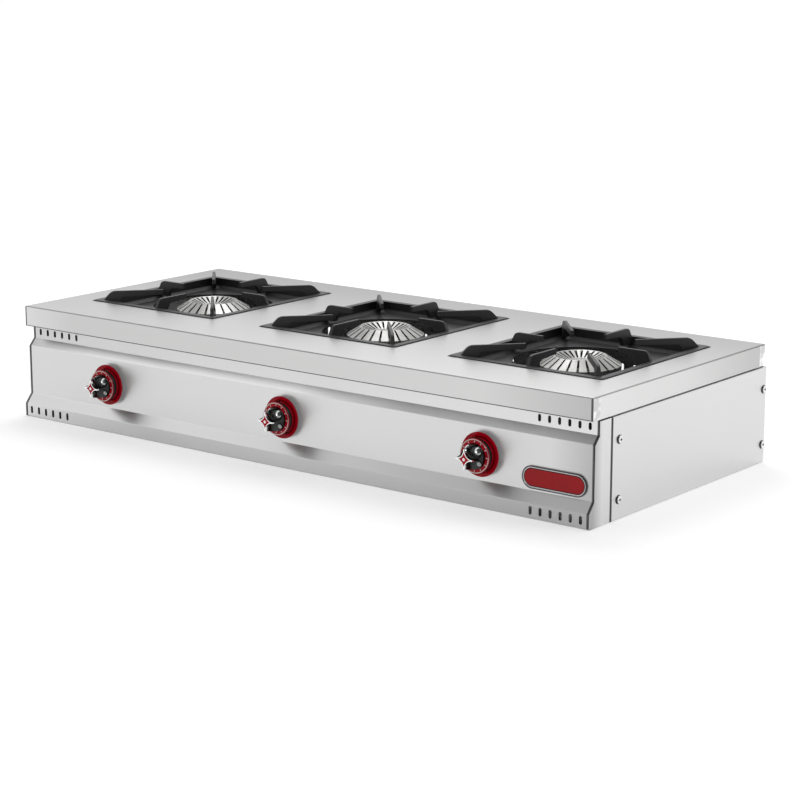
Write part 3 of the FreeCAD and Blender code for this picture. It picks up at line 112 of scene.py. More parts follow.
# ---- sizes and colours a user would change ---------------------------------------------------
class RangeSizes(bpy.types.PropertyGroup):
    """Sizes of the trim that the scene adds, and of the stage."""

    trim_ring_width: FloatProperty(
        name="Skirt ring width", description="Width of the silver ring round the skirt's face",
        default=1.6 * MM, min=0.2 * MM, max=5 * MM, unit="LENGTH")
    inset_reach: FloatProperty(
        name="Inset reach", description="Centre of the grip's inset to one of its points",
        default=11.0 * MM, min=2 * MM, max=20 * MM, unit="LENGTH")
    inset_height: FloatProperty(
        name="Inset height", description="How far the inset stands on the grip's face",
        default=0.35 * MM, min=0.05 * MM, max=2 * MM, unit="LENGTH")
    port_count: IntProperty(
        name="Ports", description="Ports in each ring of a burner cap",
        default=24, min=6, max=60)
    # width of the painted shade along each port
    port_width: FloatProperty(
        name="Port width", description="Width of the darkened ports half way along",
        default=3.6 * MM, min=0.5 * MM, max=8 * MM, unit="LENGTH")
    head_radius: FloatProperty(
        name="Screw head radius", description="Half the width of a screw head",
        default=6.0 * MM, min=1 * MM, max=12 * MM, unit="LENGTH")
    head_height: FloatProperty(
        name="Screw head height", description="Height of a screw head above its sheet",
        default=3.4 * MM, min=0.5 * MM, max=8 * MM, unit="LENGTH")
    recess_length: FloatProperty(
        name="Recess length", description="Length of each arm of the screws' cross",
        default=5.2 * MM, min=1 * MM, max=9 * MM, unit="LENGTH")
    recess_width: FloatProperty(
        name="Recess width", description="Width of each arm of the screws' cross",
        default=1.7 * MM, min=0.2 * MM, max=3 * MM, unit="LENGTH")
    ridge_half: FloatProperty(
        name="Ridge half width", description="Half the width of a grip's bright ridges",
        default=1.9 * MM, min=0.2 * MM, max=6 * MM, unit="LENGTH")
    grain_pitch: FloatProperty(
        name="Grain pitch", description="Distance between the lines of the brushed finish",
        default=0.7 * MM, min=0.1 * MM, max=5 * MM, unit="LENGTH")
    seam_width: FloatProperty(
        name="Seam width", description="Width of the shaded line along seams and folded edges",
        default=1.4 * MM, min=0.2 * MM, max=5 * MM, unit="LENGTH")
    weld_width: FloatProperty(
        name="Weld width", description="Polished strip beside the corners of the lip",
        default=18.0 * MM, min=1 * MM, max=40 * MM, unit="LENGTH")
    floor_size: FloatProperty(
        name="Floor size", description="Side of the stage floor",
        default=30.0, min=4.0, max=100.0, unit="LENGTH")


class RangeColours(bpy.types.PropertyGroup):
    """Colours of the finishes."""

    top_steel: FloatVectorProperty(
        name="Top steel", description="Brushed sheet of the cooking top",
        default=(0.56, 0.56, 0.558), size=3, min=0, max=1, subtype="COLOR")
    body_steel: FloatVectorProperty(
        name="Body steel", description="Brushed sheet of the body",
        default=(0.655, 0.655, 0.655), size=3, min=0, max=1, subtype="COLOR")
    enamel: FloatVectorProperty(
        name="Bowl enamel", description="Satin enamel of the drip bowls",
        default=(0.015, 0.015, 0.016), size=3, min=0, max=1, subtype="COLOR")
    cast_iron: FloatVectorProperty(
        name="Support iron", description="Coated iron of the pan supports",
        default=(0.011, 0.011, 0.012), size=3, min=0, max=1, subtype="COLOR")
    cap_metal: FloatVectorProperty(
        name="Cap metal", description="Bright casting of the burner caps",
        default=(0.50, 0.497, 0.487), size=3, min=0, max=1, subtype="COLOR")
    red: FloatVectorProperty(
        name="Gloss red", description="Bezels, skirts and the grip's inset",
        default=(0.33, 0.0, 0.008), size=3, min=0, max=1, subtype="COLOR")
    badge_red: FloatVectorProperty(
        name="Badge red", description="Field of the bare badge plate",
        default=(0.30, 0.004, 0.008), size=3, min=0, max=1, subtype="COLOR")
    chrome: FloatVectorProperty(
        name="Chrome", description="Plating of the grips' edges and of thin trim",
        default=(0.86, 0.87, 0.88), size=3, min=0, max=1, subtype="COLOR")
    # painted dark reflection, used in the grips' hollows
    dark_chrome: FloatVectorProperty(
        name="Dark chrome", description="Smoked plating in the grips' hollows",
        default=(0.045, 0.047, 0.045), size=3, min=0, max=1, subtype="COLOR")
    # painted shade, used along seams, folded edges and the lip's foot
    seam: FloatVectorProperty(
        name="Seam", description="Shaded sheet in seams and under folded edges",
        default=(0.10, 0.10, 0.10), size=3, min=0, max=1, subtype="COLOR")
    brass: FloatVectorProperty(
        name="Brass", description="Valves, plugs and injectors",
        default=(0.72, 0.53, 0.22), size=3, min=0, max=1, subtype="COLOR")
    zinc: FloatVectorProperty(
        name="Zinc", description="Plated steel of the rails, pipes and screws",
        default=(0.60, 0.61, 0.62), size=3, min=0, max=1, subtype="COLOR")


def sizes():
    return bpy.context.scene.range_sizes


def colours():
    return bpy.context.scene.range_colours


# ---- material building -------------------------------------------------------------------------
class Finish:
    """One node material under construction."""

    def __init__(self, name):
        self.material = bpy.data.materials.new(name)
        self.material.use_nodes = True
        self.tree = self.material.node_tree
        self.shader = self.tree.nodes["Principled BSDF"]
        self.coords = self.node("ShaderNodeTexCoord")
        self.place = self.coords.outputs["Object"]

    def node(self, kind, **settings):
        made = self.tree.nodes.new(kind)
        for key, value in settings.items():
            setattr(made, key, value)
        return made

    def feed(self, socket, value):
        if isinstance(value, bpy.types.NodeSocket):
            self.tree.links.new(value, socket)
        else:
            socket.default_value = value

    def stretched(self, scale):
        made = self.node("ShaderNodeMapping")
        self.feed(made.inputs["Vector"], self.place)
        made.inputs["Scale"].default_value = scale
        return made.outputs["Vector"]

    def noise(self, scale, detail=3.0, place=None, rough=0.5):
        made = self.node("ShaderNodeTexNoise")
        self.feed(made.inputs["Vector"], place or self.place)
        made.inputs["Scale"].default_value = scale
        made.inputs["Detail"].default_value = detail
        made.inputs["Roughness"].default_value = rough
        return made.outputs["Fac"]

    def math(self, operation, a, b=0.0, c=0.0):
        made = self.node("ShaderNodeMath", operation=operation)
        self.feed(made.inputs[0], a)
        self.feed(made.inputs[1], b)
        self.feed(made.inputs[2], c)
        return made.outputs[0]

    def distance(self, a, b):
        """Length of the vector with the parts a and b."""
        square = self.math("ADD", self.math("MULTIPLY", a, a), self.math("MULTIPLY", b, b))
        return self.math("SQRT", square)

    def from_spoke(self, up, across, count):
        """Angle from the nearest one of evenly spaced spokes."""
        half = math.pi / count
        return self.math("WRAP", self.math("ARCTAN2", up, across), half, -half)

    def spread(self, value, low, high, start=0.0, end=1.0):
        """A value that goes from low to high while the given one goes from start to end."""
        made = self.node("ShaderNodeMapRange")
        self.feed(made.inputs["Value"], value)
        made.inputs["From Min"].default_value = start
        made.inputs["From Max"].default_value = end
        made.inputs["To Min"].default_value = low
        made.inputs["To Max"].default_value = high
        return made.outputs["Result"]

    def along(self, value, levels):
        """Level read from (place, level) pairs, all below 2, along a value."""
        ramp = self.node("ShaderNodeValToRGB")
        fill_ramp(ramp, [((place - levels[0][0]) / (levels[-1][0] - levels[0][0]), level / 2)
                         for place, level in levels])
        self.feed(ramp.inputs["Fac"], self.spread(value, 0.0, 1.0, levels[0][0], levels[-1][0]))
        return self.math("MULTIPLY", ramp.outputs["Color"], 2.0)

    def toned(self, colour, level):
        """A colour times a level."""
        made = self.node("ShaderNodeVectorMath", operation="SCALE")
        self.feed(made.inputs[0], colour)
        self.feed(made.inputs["Scale"], level)
        return made.outputs["Vector"]

    def blend(self, factor, first, second):
        made = self.node("ShaderNodeMix", data_type="RGBA")
        self.feed(made.inputs["Factor"], factor)
        self.feed(made.inputs["A"], as_colour(first))
        self.feed(made.inputs["B"], as_colour(second))
        return made.outputs["Result"]

    def choose(self, factor, first, second):
        made = self.node("ShaderNodeMix", data_type="FLOAT")
        self.feed(made.inputs["Factor"], factor)
        self.feed(made.inputs["A"], first)
        self.feed(made.inputs["B"], second)
        return made.outputs["Result"]

    def axes(self, vector=None):
        made = self.node("ShaderNodeSeparateXYZ")
        self.feed(made.inputs[0], vector or self.place)
        return made.outputs

    def bump(self, height, strength, distance):
        made = self.node("ShaderNodeBump")
        made.inputs["Strength"].default_value = strength
        made.inputs["Distance"].default_value = distance
        self.feed(made.inputs["Height"], height)
        self.feed(self.shader.inputs["Normal"], made.outputs["Normal"])

    def set(self, **values):
        for key, value in values.items():
            self.feed(self.shader.inputs[key.replace("_", " ")], value)

    def colour(self, value):
        self.feed(self.shader.inputs["Base Color"], as_colour(value))


def as_colour(value):
    if isinstance(value, bpy.types.NodeSocket):
        return value
    return (value[0], value[1], value[2], 1.0)


def fill_ramp(ramp, levels):
    """Set a colour ramp to grey levels at places from 0 to 1."""
    stops = ramp.color_ramp.elements
    stops[0].position, stops[1].position = levels[0][0], levels[-1][0]
    stops[0].color = (levels[0][1],) * 3 + (1,)
    stops[1].color = (levels[-1][1],) * 3 + (1,)
    for place, level in levels[1:-1]:
        stops.new(place).color = (level, level, level, 1)


def shade(colour, factor):
    """A plain colour made darker or lighter."""
    return tuple(min(1.0, c * factor) for c in colour)


def made_once(maker):
    """The finish of a maker function, built the first time that it is asked for."""
    name = maker.__name__

    def get():
        found = bpy.data.materials.get(name)
        return found or maker(name)
    return get


def from_burner(made, x):
    """Distance along X from the middle of the nearest burner."""
    half = (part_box("knob_bezel_middle")[0].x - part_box("knob_bezel_left")[0].x) / 2
    return made.math("WRAP", x, half, -half)


def brushed(made, colour, drift):
    """Brushed sheet: fine lines along X, or along Y on the sides, faint cloudy patches, painted
    light that drifts per metre along X and Y, and painted light that makes the side sheets a
    little lighter. Returns its colour and its roughness."""
    fine = 1.0 / sizes().grain_pitch
    across_x = made.stretched((2.0, fine, fine))
    across_y = made.stretched((fine, 2.0, fine))
    side = made.math("ABSOLUTE", made.axes(made.coords.outputs["Normal"])[0])
    on_side = made.math("GREATER_THAN", side, 0.7)
    grain = made.choose(on_side, made.noise(1.0, 4.0, across_x), made.noise(1.0, 4.0, across_y))
    cloud = made.noise(3.2, 3.0)
    tone = made.math("ADD", made.spread(grain, -0.006, 0.006), made.spread(cloud, -0.02, 0.02))
    x, y, _ = made.axes()
    # painted light: a slow drift of tone along X and Y
    tone = made.math("ADD", tone, made.math("MULTIPLY", x, drift[0]))
    tone = made.math("ADD", tone, made.math("MULTIPLY", y, drift[1]))
    # painted light: the side sheets a little lighter
    tone = made.math("ADD", tone, made.math("MULTIPLY", on_side, 0.05))
    factor = made.spread(tone, 0.0, 1.0, -0.35, 0.35)
    made.set(Metallic=1.0)
    made.bump(grain, 0.05, 0.0002)
    return (made.blend(factor, shade(colour, 0.65), shade(colour, 1.35)),
            made.spread(grain, 0.30, 0.42))


@made_once
def brushed_top(name):
    """Brushed top: painted shade along its folds and at the foot and the ends of the lip's front,
    painted light along Y on the top and along X on the lip, and a polished weld at each corner.
    """
    made = Finish(name)
    colour, roughness = brushed(made, colours().top_steel, (0.17, -0.40))
    low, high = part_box("top_plate")
    x, y, z = made.axes()
    side = made.math("ABSOLUTE", x)
    depth = made.math("ABSOLUTE", y)
    on_front = made.math("GREATER_THAN", depth, high.y - FACE_SLACK)
    on_side = made.math("GREATER_THAN", side, high.x - FACE_SLACK)
    foot = made.math("LESS_THAN", z, low.z + sizes().seam_width)
    corner = made.math("GREATER_THAN", side, high.x - LIP_CORNER)
    edge = made.math("MAXIMUM", made.math("GREATER_THAN", depth, high.y - FOLD_WIDTH),
                     made.math("GREATER_THAN", side, high.x - FOLD_WIDTH))
    fold = made.math("MULTIPLY", edge, made.math("GREATER_THAN", z, high.z - FOLD_WIDTH))
    # painted shade at the lip's foot, at the ends of its front and along the folds
    dark = made.math("MULTIPLY", on_front, made.math("MAXIMUM", foot, corner))
    dark = made.math("MAXIMUM", dark, made.math("MULTIPLY", fold, 0.55))
    # painted light along Y on the top and along X on the lip
    tone = made.choose(on_front, made.along(y, TOP_PAINTED_LIGHT), made.along(x, LIP_PAINTED_LIGHT))
    colour = made.toned(colour, tone)
    weld = made.math("MULTIPLY", on_side,
                     made.math("GREATER_THAN", depth, high.y - sizes().weld_width))
    facets = made.spread(made.noise(55.0, 1.0), 0.0, 1.0, 0.40, 0.60)
    ground = made.blend(facets, shade(colours().top_steel, 1.05), shade(colours().top_steel, 1.6))
    colour = made.blend(weld, colour, ground)
    made.colour(made.blend(dark, colour, colours().seam))
    made.set(Roughness=made.choose(weld, roughness, made.spread(facets, 0.26, 0.16)))
    return made.material


@made_once
def brushed_body(name):
    """Brushed back sheet."""
    made = Finish(name)
    colour, roughness = brushed(made, colours().body_steel, (-0.03, 0.0))
    made.colour(colour)
    made.set(Roughness=roughness)
    return made.material


@made_once
def brushed_front(name):
    """Brushed fascia, with painted light that drifts differently along each of its folded faces,
    and painted shade at the ends where it meets the cheeks."""
    made = Finish(name)
    colour, roughness = brushed(made, colours().body_steel, (-0.05, 0.0))
    x, _, z = made.axes()
    # painted light along X, different on each folded face
    tone = 1.0
    for foot, levels in FASCIA_PAINTED_LIGHT:
        tone = made.choose(made.math("GREATER_THAN", z, foot), tone, made.along(x, levels))
    colour = made.toned(colour, tone)
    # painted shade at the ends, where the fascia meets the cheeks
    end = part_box("front_fascia")[1].x - FASCIA_END
    dark = made.math("GREATER_THAN", made.math("ABSOLUTE", x), end)
    made.colour(made.blend(dark, colour, colours().seam))
    made.set(Roughness=roughness)
    return made.material


@made_once
def brushed_side(name):
    """Brushed side sheet, with painted shade along its front edge."""
    made = Finish(name)
    colour, roughness = brushed(made, colours().body_steel, (0.0, 0.0))
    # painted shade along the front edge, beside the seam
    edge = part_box("side_panel_right")[0].y + 1.8 * sizes().seam_width
    dark = made.math("LESS_THAN", made.axes()[1], edge)
    made.colour(made.blend(dark, colour, colours().seam))
    made.set(Roughness=roughness)
    return made.material


@made_once
def brushed_cheek(name):
    """Brushed end cheek, with painted shade over its front and where its tongue shows in the seam
    before the side sheet.
    """
    made = Finish(name)
    colour, roughness = brushed(made, colours().body_steel, (0.0, 0.0))
    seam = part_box("side_panel_right")[0].y - 2.4 * sizes().seam_width
    y = made.axes()[1]
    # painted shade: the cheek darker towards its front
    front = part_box("fascia_cheek_right")[0].y + CHEEK_SHADE_FADE[0]
    colour = made.toned(colour, made.spread(y, 0.62, 1.0, front, front + CHEEK_SHADE_FADE[1]))
    # painted shade where the tongue shows in the seam
    tongue = made.math("GREATER_THAN", y, seam)
    made.colour(made.blend(tongue, colour, colours().seam))
    made.set(Roughness=roughness)
    return made.material


@made_once
def bowl_enamel(name):
    """Satin black enamel with a faint orange-peel surface."""
    made = Finish(name)
    peel = made.noise(900.0, 2.0)
    cloud = made.noise(14.0, 4.0)
    made.colour(made.blend(cloud, shade(colours().enamel, 0.8), shade(colours().enamel, 1.3)))
    made.set(Metallic=0.0, Roughness=made.spread(cloud, 0.34, 0.48), Specular_IOR_Level=0.4)
    made.bump(peel, 0.06, 0.0002)
    return made.material


@made_once
def support_iron(name):
    """Black coated cast iron: fine sand texture, satin."""
    made = Finish(name)
    sand = made.noise(1400.0, 5.0, rough=0.65)
    cloud = made.noise(35.0, 4.0)
    iron = colours().cast_iron
    made.colour(made.blend(cloud, shade(iron, 0.75), shade(iron, 1.35)))
    made.set(Metallic=0.0, Roughness=made.spread(sand, 0.30, 0.46), Specular_IOR_Level=0.4)
    made.bump(sand, 0.18, 0.0003)
    return made.material


@made_once
def cap_finish(name):
    """Bright machined casting, with painted shade darkening its ports."""
    made = Finish(name)
    grain = made.noise(700.0, 3.0)
    cloud = made.noise(45.0, 3.0)
    metal = made.blend(cloud, shade(colours().cap_metal, 0.72), shade(colours().cap_metal, 1.24))
    low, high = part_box("burner_cap_middle")
    x, y, _ = made.axes()
    across = from_burner(made, x)
    along = made.math("SUBTRACT", y, (low.y + high.y) / 2)
    turn = made.from_spoke(along, across, sizes().port_count)
    radius = made.distance(across, along)
    rim = (high.x - low.x) / 2
    # painted shade: strips along the ports, in both rings
    ports = []
    for inner, outer in [(start * rim, end * rim) for start, end in PORT_ROWS]:
        half = sizes().port_width / (inner + outer)
        within = made.math("MULTIPLY", made.math("GREATER_THAN", radius, inner),
                           made.math("LESS_THAN", radius, outer))
        near = made.math("LESS_THAN", made.math("ABSOLUTE", turn), half)
        ports.append(made.math("MULTIPLY", within, near))
    port = made.math("MAXIMUM", *ports)
    made.colour(made.blend(port, metal, PORT_PAINTED_SHADE))
    made.set(Metallic=1.0, Roughness=made.spread(grain, 0.34, 0.50))
    made.bump(grain, 0.08, 0.0002)
    return made.material


@made_once
def burner_cast(name):
    """Bare dark casting of the burner below its cap."""
    made = Finish(name)
    sand = made.noise(800.0, 5.0, rough=0.65)
    made.colour(made.blend(sand, (0.035, 0.035, 0.036), (0.085, 0.082, 0.080)))
    made.set(Metallic=0.4, Roughness=made.spread(sand, 0.45, 0.70))
    made.bump(sand, 0.3, 0.0005)
    return made.material


@made_once
def zinc_plate(name):
    """Zinc-plated steel with pale spangle."""
    made = Finish(name)
    spangle = made.node("ShaderNodeTexVoronoi")
    made.feed(spangle.inputs["Vector"], made.place)
    spangle.inputs["Scale"].default_value = 160.0
    fleck = made.math("FRACT", made.math("MULTIPLY", spangle.outputs["Distance"], 3.1))
    made.colour(made.blend(fleck, shade(colours().zinc, 0.86), shade(colours().zinc, 1.08)))
    made.set(Metallic=1.0, Roughness=made.spread(fleck, 0.32, 0.48))
    return made.material


@made_once
def screw_steel(name):
    """Plain steel of the screw heads, with a fine turned grain and painted shade on the side of
    each head that faces the front.
    """
    made = Finish(name)
    grain = made.noise(2500.0, 2.0)
    steel = made.blend(grain, (0.78, 0.78, 0.78), (0.92, 0.92, 0.92))
    # painted shade on the side of each head that faces the front
    forward = made.axes(made.coords.outputs["Normal"])[1]
    painted_flank_shade = made.spread(forward, 1.0, 0.0, -0.55, -0.30)
    made.colour(made.blend(painted_flank_shade, steel, (0.10, 0.10, 0.10)))
    made.set(Metallic=1.0, Roughness=made.spread(grain, 0.14, 0.24))
    return made.material


@made_once
def valve_brass(name):
    """Turned brass."""
    made = Finish(name)
    grain = made.noise(600.0, 4.0)
    made.colour(made.blend(grain, shade(colours().brass, 0.82), shade(colours().brass, 1.08)))
    made.set(Metallic=1.0, Roughness=made.spread(grain, 0.26, 0.42))
    made.bump(grain, 0.05, 0.0002)
    return made.material


def knob_radius(made):
    """Distance from the axis of the nearest knob, and the coordinates across it, to the back
    and up from it."""
    x, y, z = made.axes()
    low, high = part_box("knob_bezel_middle")
    height = (low.z + high.z) / 2
    across = from_burner(made, x)
    up = made.math("SUBTRACT", z, height)
    return made.distance(across, up), across, y, up


@made_once
def bezel_finish(name):
    """Gloss red ring and dish, with a pale undercut foot behind the widest part."""
    made = Finish(name)
    radius, _, y, _ = knob_radius(made)
    cloud = made.noise(60.0, 2.0)
    red = made.blend(cloud, shade(colours().red, 0.85), shade(colours().red, 1.15))
    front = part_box("knob_bezel_middle")[0].y
    behind = made.math("GREATER_THAN", y, front + BEZEL_FOOT_DEPTH)
    foot = made.math("MULTIPLY", behind, made.math("GREATER_THAN", radius, BEZEL_FOOT_RADIUS))
    made.colour(made.blend(foot, red, (0.62, 0.62, 0.62)))
    made.set(Metallic=0.0, Roughness=made.spread(cloud, 0.10, 0.16), Specular_IOR_Level=0.14)
    return made.material


@made_once
def skirt_finish(name):
    """Gloss red face of the skirt with twelve small pale ticks, black round its side."""
    made = Finish(name)
    radius, across, y, up = knob_radius(made)
    low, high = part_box("knob_skirt_middle")
    cloud = made.noise(80.0, 2.0)
    red = made.blend(cloud, shade(colours().red, 0.8), shade(colours().red, 1.15))
    side = made.math("MULTIPLY", made.math("GREATER_THAN", y, low.y + SKIRT_FACE_DEPTH),
                     made.math("LESS_THAN", y, high.y - SKIRT_BACK_DEPTH))
    turn = made.from_spoke(up, across, TICK_COUNT)
    tick = made.math("MULTIPLY", made.math("COMPARE", radius, TICK_RADIUS, TICK_REACH),
                     made.math("COMPARE", turn, 0.0, TICK_TURN))
    face = made.blend(tick, red, (0.55, 0.50, 0.50))
    made.colour(made.blend(side, face, (0.010, 0.011, 0.011)))
    made.set(Metallic=0.0, Roughness=made.spread(cloud, 0.10, 0.16), Specular_IOR_Level=0.14)
    return made.material


@made_once
def gloss_red(name):
    """Gloss red of the grip's inset."""
    made = Finish(name)
    cloud = made.noise(120.0, 2.0)
    made.colour(made.blend(cloud, shade(colours().red, 0.9), shade(colours().red, 1.2)))
    made.set(Metallic=0.0, Roughness=made.spread(cloud, 0.12, 0.18), Specular_IOR_Level=0.14)
    return made.material


def plated(made):
    """Chrome plating with a faint haze. Returns its colour."""
    haze = made.noise(220.0, 3.0)
    made.set(Metallic=1.0, Roughness=made.spread(haze, 0.06, 0.12))
    return made.blend(haze, shade(colours().chrome, 0.94), shade(colours().chrome, 1.04))


@made_once
def ring_steel(name):
    """Satin ring at the skirt's edge."""
    made = Finish(name)
    haze = made.noise(300.0, 2.0)
    made.colour(made.blend(haze, (0.34, 0.27, 0.26), (0.48, 0.39, 0.37)))
    made.set(Metallic=1.0, Roughness=made.spread(haze, 0.20, 0.32))
    return made.material


@made_once
def grip_chrome(name):
    """Bright chrome on the face and the ridges' front, painted dark reflection behind, and a
    painted highlight ring at the foot of each hollow."""
    made = Finish(name)
    bright = plated(made)
    _, across, y, up = knob_radius(made)
    beside = made.math("MINIMUM", made.math("ABSOLUTE", across), made.math("ABSOLUTE", up))
    low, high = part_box("knob_grip_middle")
    behind = made.math("GREATER_THAN", y, low.y + 0.3 * MM)
    beyond = made.math("GREATER_THAN", y, low.y + 4.0 * MM)
    off_ridge = made.math("GREATER_THAN", beside, sizes().ridge_half)
    # painted dark reflection in the hollows and behind the ridges' front
    hollow = made.math("MULTIPLY", behind, made.math("MAXIMUM", off_ridge, beyond))
    # painted highlight: a bright ring near the foot of each hollow
    away = [made.math("SUBTRACT", made.math("ABSOLUTE", value), HOLLOW_CENTRE)
            for value in (across, up)]
    upper = made.math("GREATER_THAN", up, 0.0)
    reach = made.choose(upper, *HOLLOW_REACH)
    off = made.math("ABSOLUTE", made.math("SUBTRACT", made.distance(*away), reach))
    painted_glint = made.math("MULTIPLY", made.spread(off, 0.9, 0.0, 0.3 * MM, 1.7 * MM),
                      made.math("GREATER_THAN", y, high.y - 9.0 * MM))
    painted_glint = made.math("MULTIPLY", painted_glint, made.choose(upper, *HOLLOW_PAINTED_GLINT))
    dark = made.math("MULTIPLY", hollow, made.math("SUBTRACT", 1.0, painted_glint))
    made.colour(made.blend(dark, bright, colours().dark_chrome))
    return made.material


@made_once
def badge_finish(name):
    """Red field of the bare plate, inside a dark line, a silver line and a dark edge."""
    made = Finish(name)
    low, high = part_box("badge_plate")
    x, _, z = made.axes()
    half_height = (high.z - low.z) / 2
    reach = (high.x - low.x) / 2 - half_height
    across = made.math("ABSOLUTE", made.math("SUBTRACT", x, (low.x + high.x) / 2))
    beyond = made.math("MAXIMUM", made.math("SUBTRACT", across, reach), 0.0)
    up = made.math("SUBTRACT", z, (low.z + high.z) / 2)
    radius = made.distance(beyond, up)
    line = made.math("GREATER_THAN", radius, half_height - BADGE_LINE)
    rim = made.math("GREATER_THAN", radius, half_height - BADGE_RIM)
    edge = made.math("GREATER_THAN", radius, half_height - BADGE_EDGE)
    cloud = made.noise(45.0, 2.0)
    field = made.blend(cloud, shade(colours().badge_red, 0.9), shade(colours().badge_red, 1.12))
    field = made.blend(line, field, shade(colours().badge_red, 0.18))
    silver = made.blend(rim, field, shade(colours().chrome, 0.55))
    made.colour(made.blend(edge, silver, (0.05, 0.045, 0.045)))
    made.set(Metallic=made.math("SUBTRACT", rim, edge), Roughness=made.spread(cloud, 0.20, 0.28),
             Specular_IOR_Level=0.2)
    return made.material


@made_once
def mark_white(name):
    """White of the grip's spot, a painted highlight on the inset."""
    made = Finish(name)
    cloud = made.noise(300.0, 2.0)
    made.colour(made.blend(cloud, (0.82, 0.80, 0.80), (0.95, 0.94, 0.94)))
    made.set(Metallic=0.0, Roughness=made.spread(cloud, 0.2, 0.3))
    return made.material


@made_once
def recess_dark(name):
    """Painted shade: dark steel in the screws' crosses and round their heads."""
    made = Finish(name)
    cloud = made.noise(900.0, 2.0)
    made.colour(made.blend(cloud, (0.02, 0.02, 0.02), (0.05, 0.05, 0.05)))
    made.set(Metallic=0.6, Roughness=made.spread(cloud, 0.5, 0.7))
    return made.material


# ---- mesh building -----------------------------------------------------------------------------
def add_piece(name, bm, body, material, smooth=False):
    """Turn a bmesh into a piece that rides on a body."""
    bmesh.ops.recalc_face_normals(bm, faces=bm.faces)
    mesh = bpy.data.meshes.new(name)
    bm.to_mesh(mesh)
    bm.free()
    obj = bpy.data.objects.new(name, mesh)
    bpy.context.scene.collection.objects.link(obj)
    mesh.materials.append(material)
    for face in mesh.polygons:
        face.use_smooth = smooth
    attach(obj, body)
    return obj


def dress(nodes, material):
    """Give CAD nodes one finish."""
    for name in nodes:
        mesh = NODES[name].data
        mesh.materials.clear()
        mesh.materials.append(material)


def for_each_burner(kind):
    return [kind + "_" + burner for burner in BURNERS]


def bevelled_box(bm, low, high, radius):
    """Add a box between two corners, with small bevels."""
    size = high - low
    place = Matrix.Translation((low + high) / 2) @ Matrix.Diagonal((size.x, size.y, size.z, 1))
    made = bmesh.ops.create_cube(bm, size=1.0, matrix=place)
    edges = list({e for v in made["verts"] for e in v.link_edges})
    bmesh.ops.bevel(bm, geom=edges, offset=radius, affect="EDGES", segments=1, profile=0.5,
                    material=-1)


def ring(bm, inner, outer, depth, centre, segments=72):
    """Add a flat ring that faces the front, with its back at centre."""
    small = min(depth, outer - inner) * 0.35
    corners = [(inner, 0), (outer, 0), (outer, depth - small), (outer - small, depth),
               (inner + small, depth), (inner, depth - small)]
    verts = [bm.verts.new(centre + Vector((r, -h, 0))) for r, h in corners]
    edges = [bm.edges.new((verts[i], verts[(i + 1) % len(verts)])) for i in range(len(verts))]
    bmesh.ops.spin(bm, geom=verts + edges, cent=centre, axis=Vector((0, 1, 0)), dvec=Vector(),
                   angle=2 * math.pi, steps=segments, use_merge=True)


# ---- operators ---------------------------------------------------------------------------------
class RANGE_OT_body(bpy.types.Operator):
    """Brushed steel on the top and the body"""
    bl_idname = "wok_range.body"
    bl_label = "Finish the body"

    def execute(self, context):
        dress(["top_plate"], brushed_top())
        dress(["front_fascia"], brushed_front())
        dress(["side_panel_left", "side_panel_right"], brushed_side())
        dress(["back_panel"], brushed_body())
        dress(["fascia_cheek_left", "fascia_cheek_right"], brushed_cheek())
        dress(["floor_pan", "front_burner_rail", "rear_burner_rail"], zinc_plate())
        return {"FINISHED"}


class RANGE_OT_screws(bpy.types.Operator):
    """Steel screw heads, with painted shade in their cross recesses and round them"""
    bl_idname = "wok_range.screws"
    bl_label = "Finish the screws"

    def execute(self, context):
        dress(["side_screws", "back_screws"], screw_steel())
        side = [(place, Vector((1 if place.x > 0 else -1, 0, 0)))
                for place in head_centres("side_screws", 0)]
        back = [(place, Vector((0, 1, 0))) for place in head_centres("back_screws", 1)]
        # painted shade: a dark cross standing in for each head's cross recess
        for name, heads in (("side_screw_recesses", side), ("back_screw_recesses", back)):
            bm = bmesh.new()
            for place, out in heads:
                self.cross(bm, place, out)
            add_piece(name, bm, "housing", recess_dark())
        # painted shadow: a thin dark ring round each head
        self.joint_line("side_screw_shadow_rings", side)
        self.joint_line("back_screw_shadow_rings", back)
        return {"FINISHED"}

    def joint_line(self, name, heads):
        """Thin dark ring of painted shadow where each head meets the sheet."""
        bm = bmesh.new()
        for place, out in heads:
            made = bmesh.new()
            ring(made, sizes().head_radius - 0.6 * MM, sizes().head_radius + 1.2 * MM, 0.25 * MM,
                 Vector())
            turn = Vector((0, -1, 0)).rotation_difference(out).to_matrix().to_4x4()
            seat = place - out * sizes().head_height
            made.transform(Matrix.Translation(seat) @ turn)
            part = bpy.data.meshes.new(name)
            made.to_mesh(part)
            made.free()
            bm.from_mesh(part)
            bpy.data.meshes.remove(part)
        add_piece(name, bm, "housing", recess_dark())

    def cross(self, bm, place, out):
        """Dark cross in a head's crown, a hair proud of it: painted shade standing in for its
        recess.
        """
        half = sizes().recess_length / 2
        thin = sizes().recess_width / 2
        proud = 0.06 * MM
        sunk = 0.25 * MM
        sideways = Vector((0, 0, 1)).cross(out)
        for along, across in ((sideways, Vector((0, 0, 1))), (Vector((0, 0, 1)), sideways)):
            reach = along * half + across * thin + out * (proud + sunk) / 2
            middle = place + out * (proud - sunk) / 2
            span = Vector((abs(reach.x), abs(reach.y), abs(reach.z)))
            bevelled_box(bm, middle - span, middle + span, 0.1 * MM)


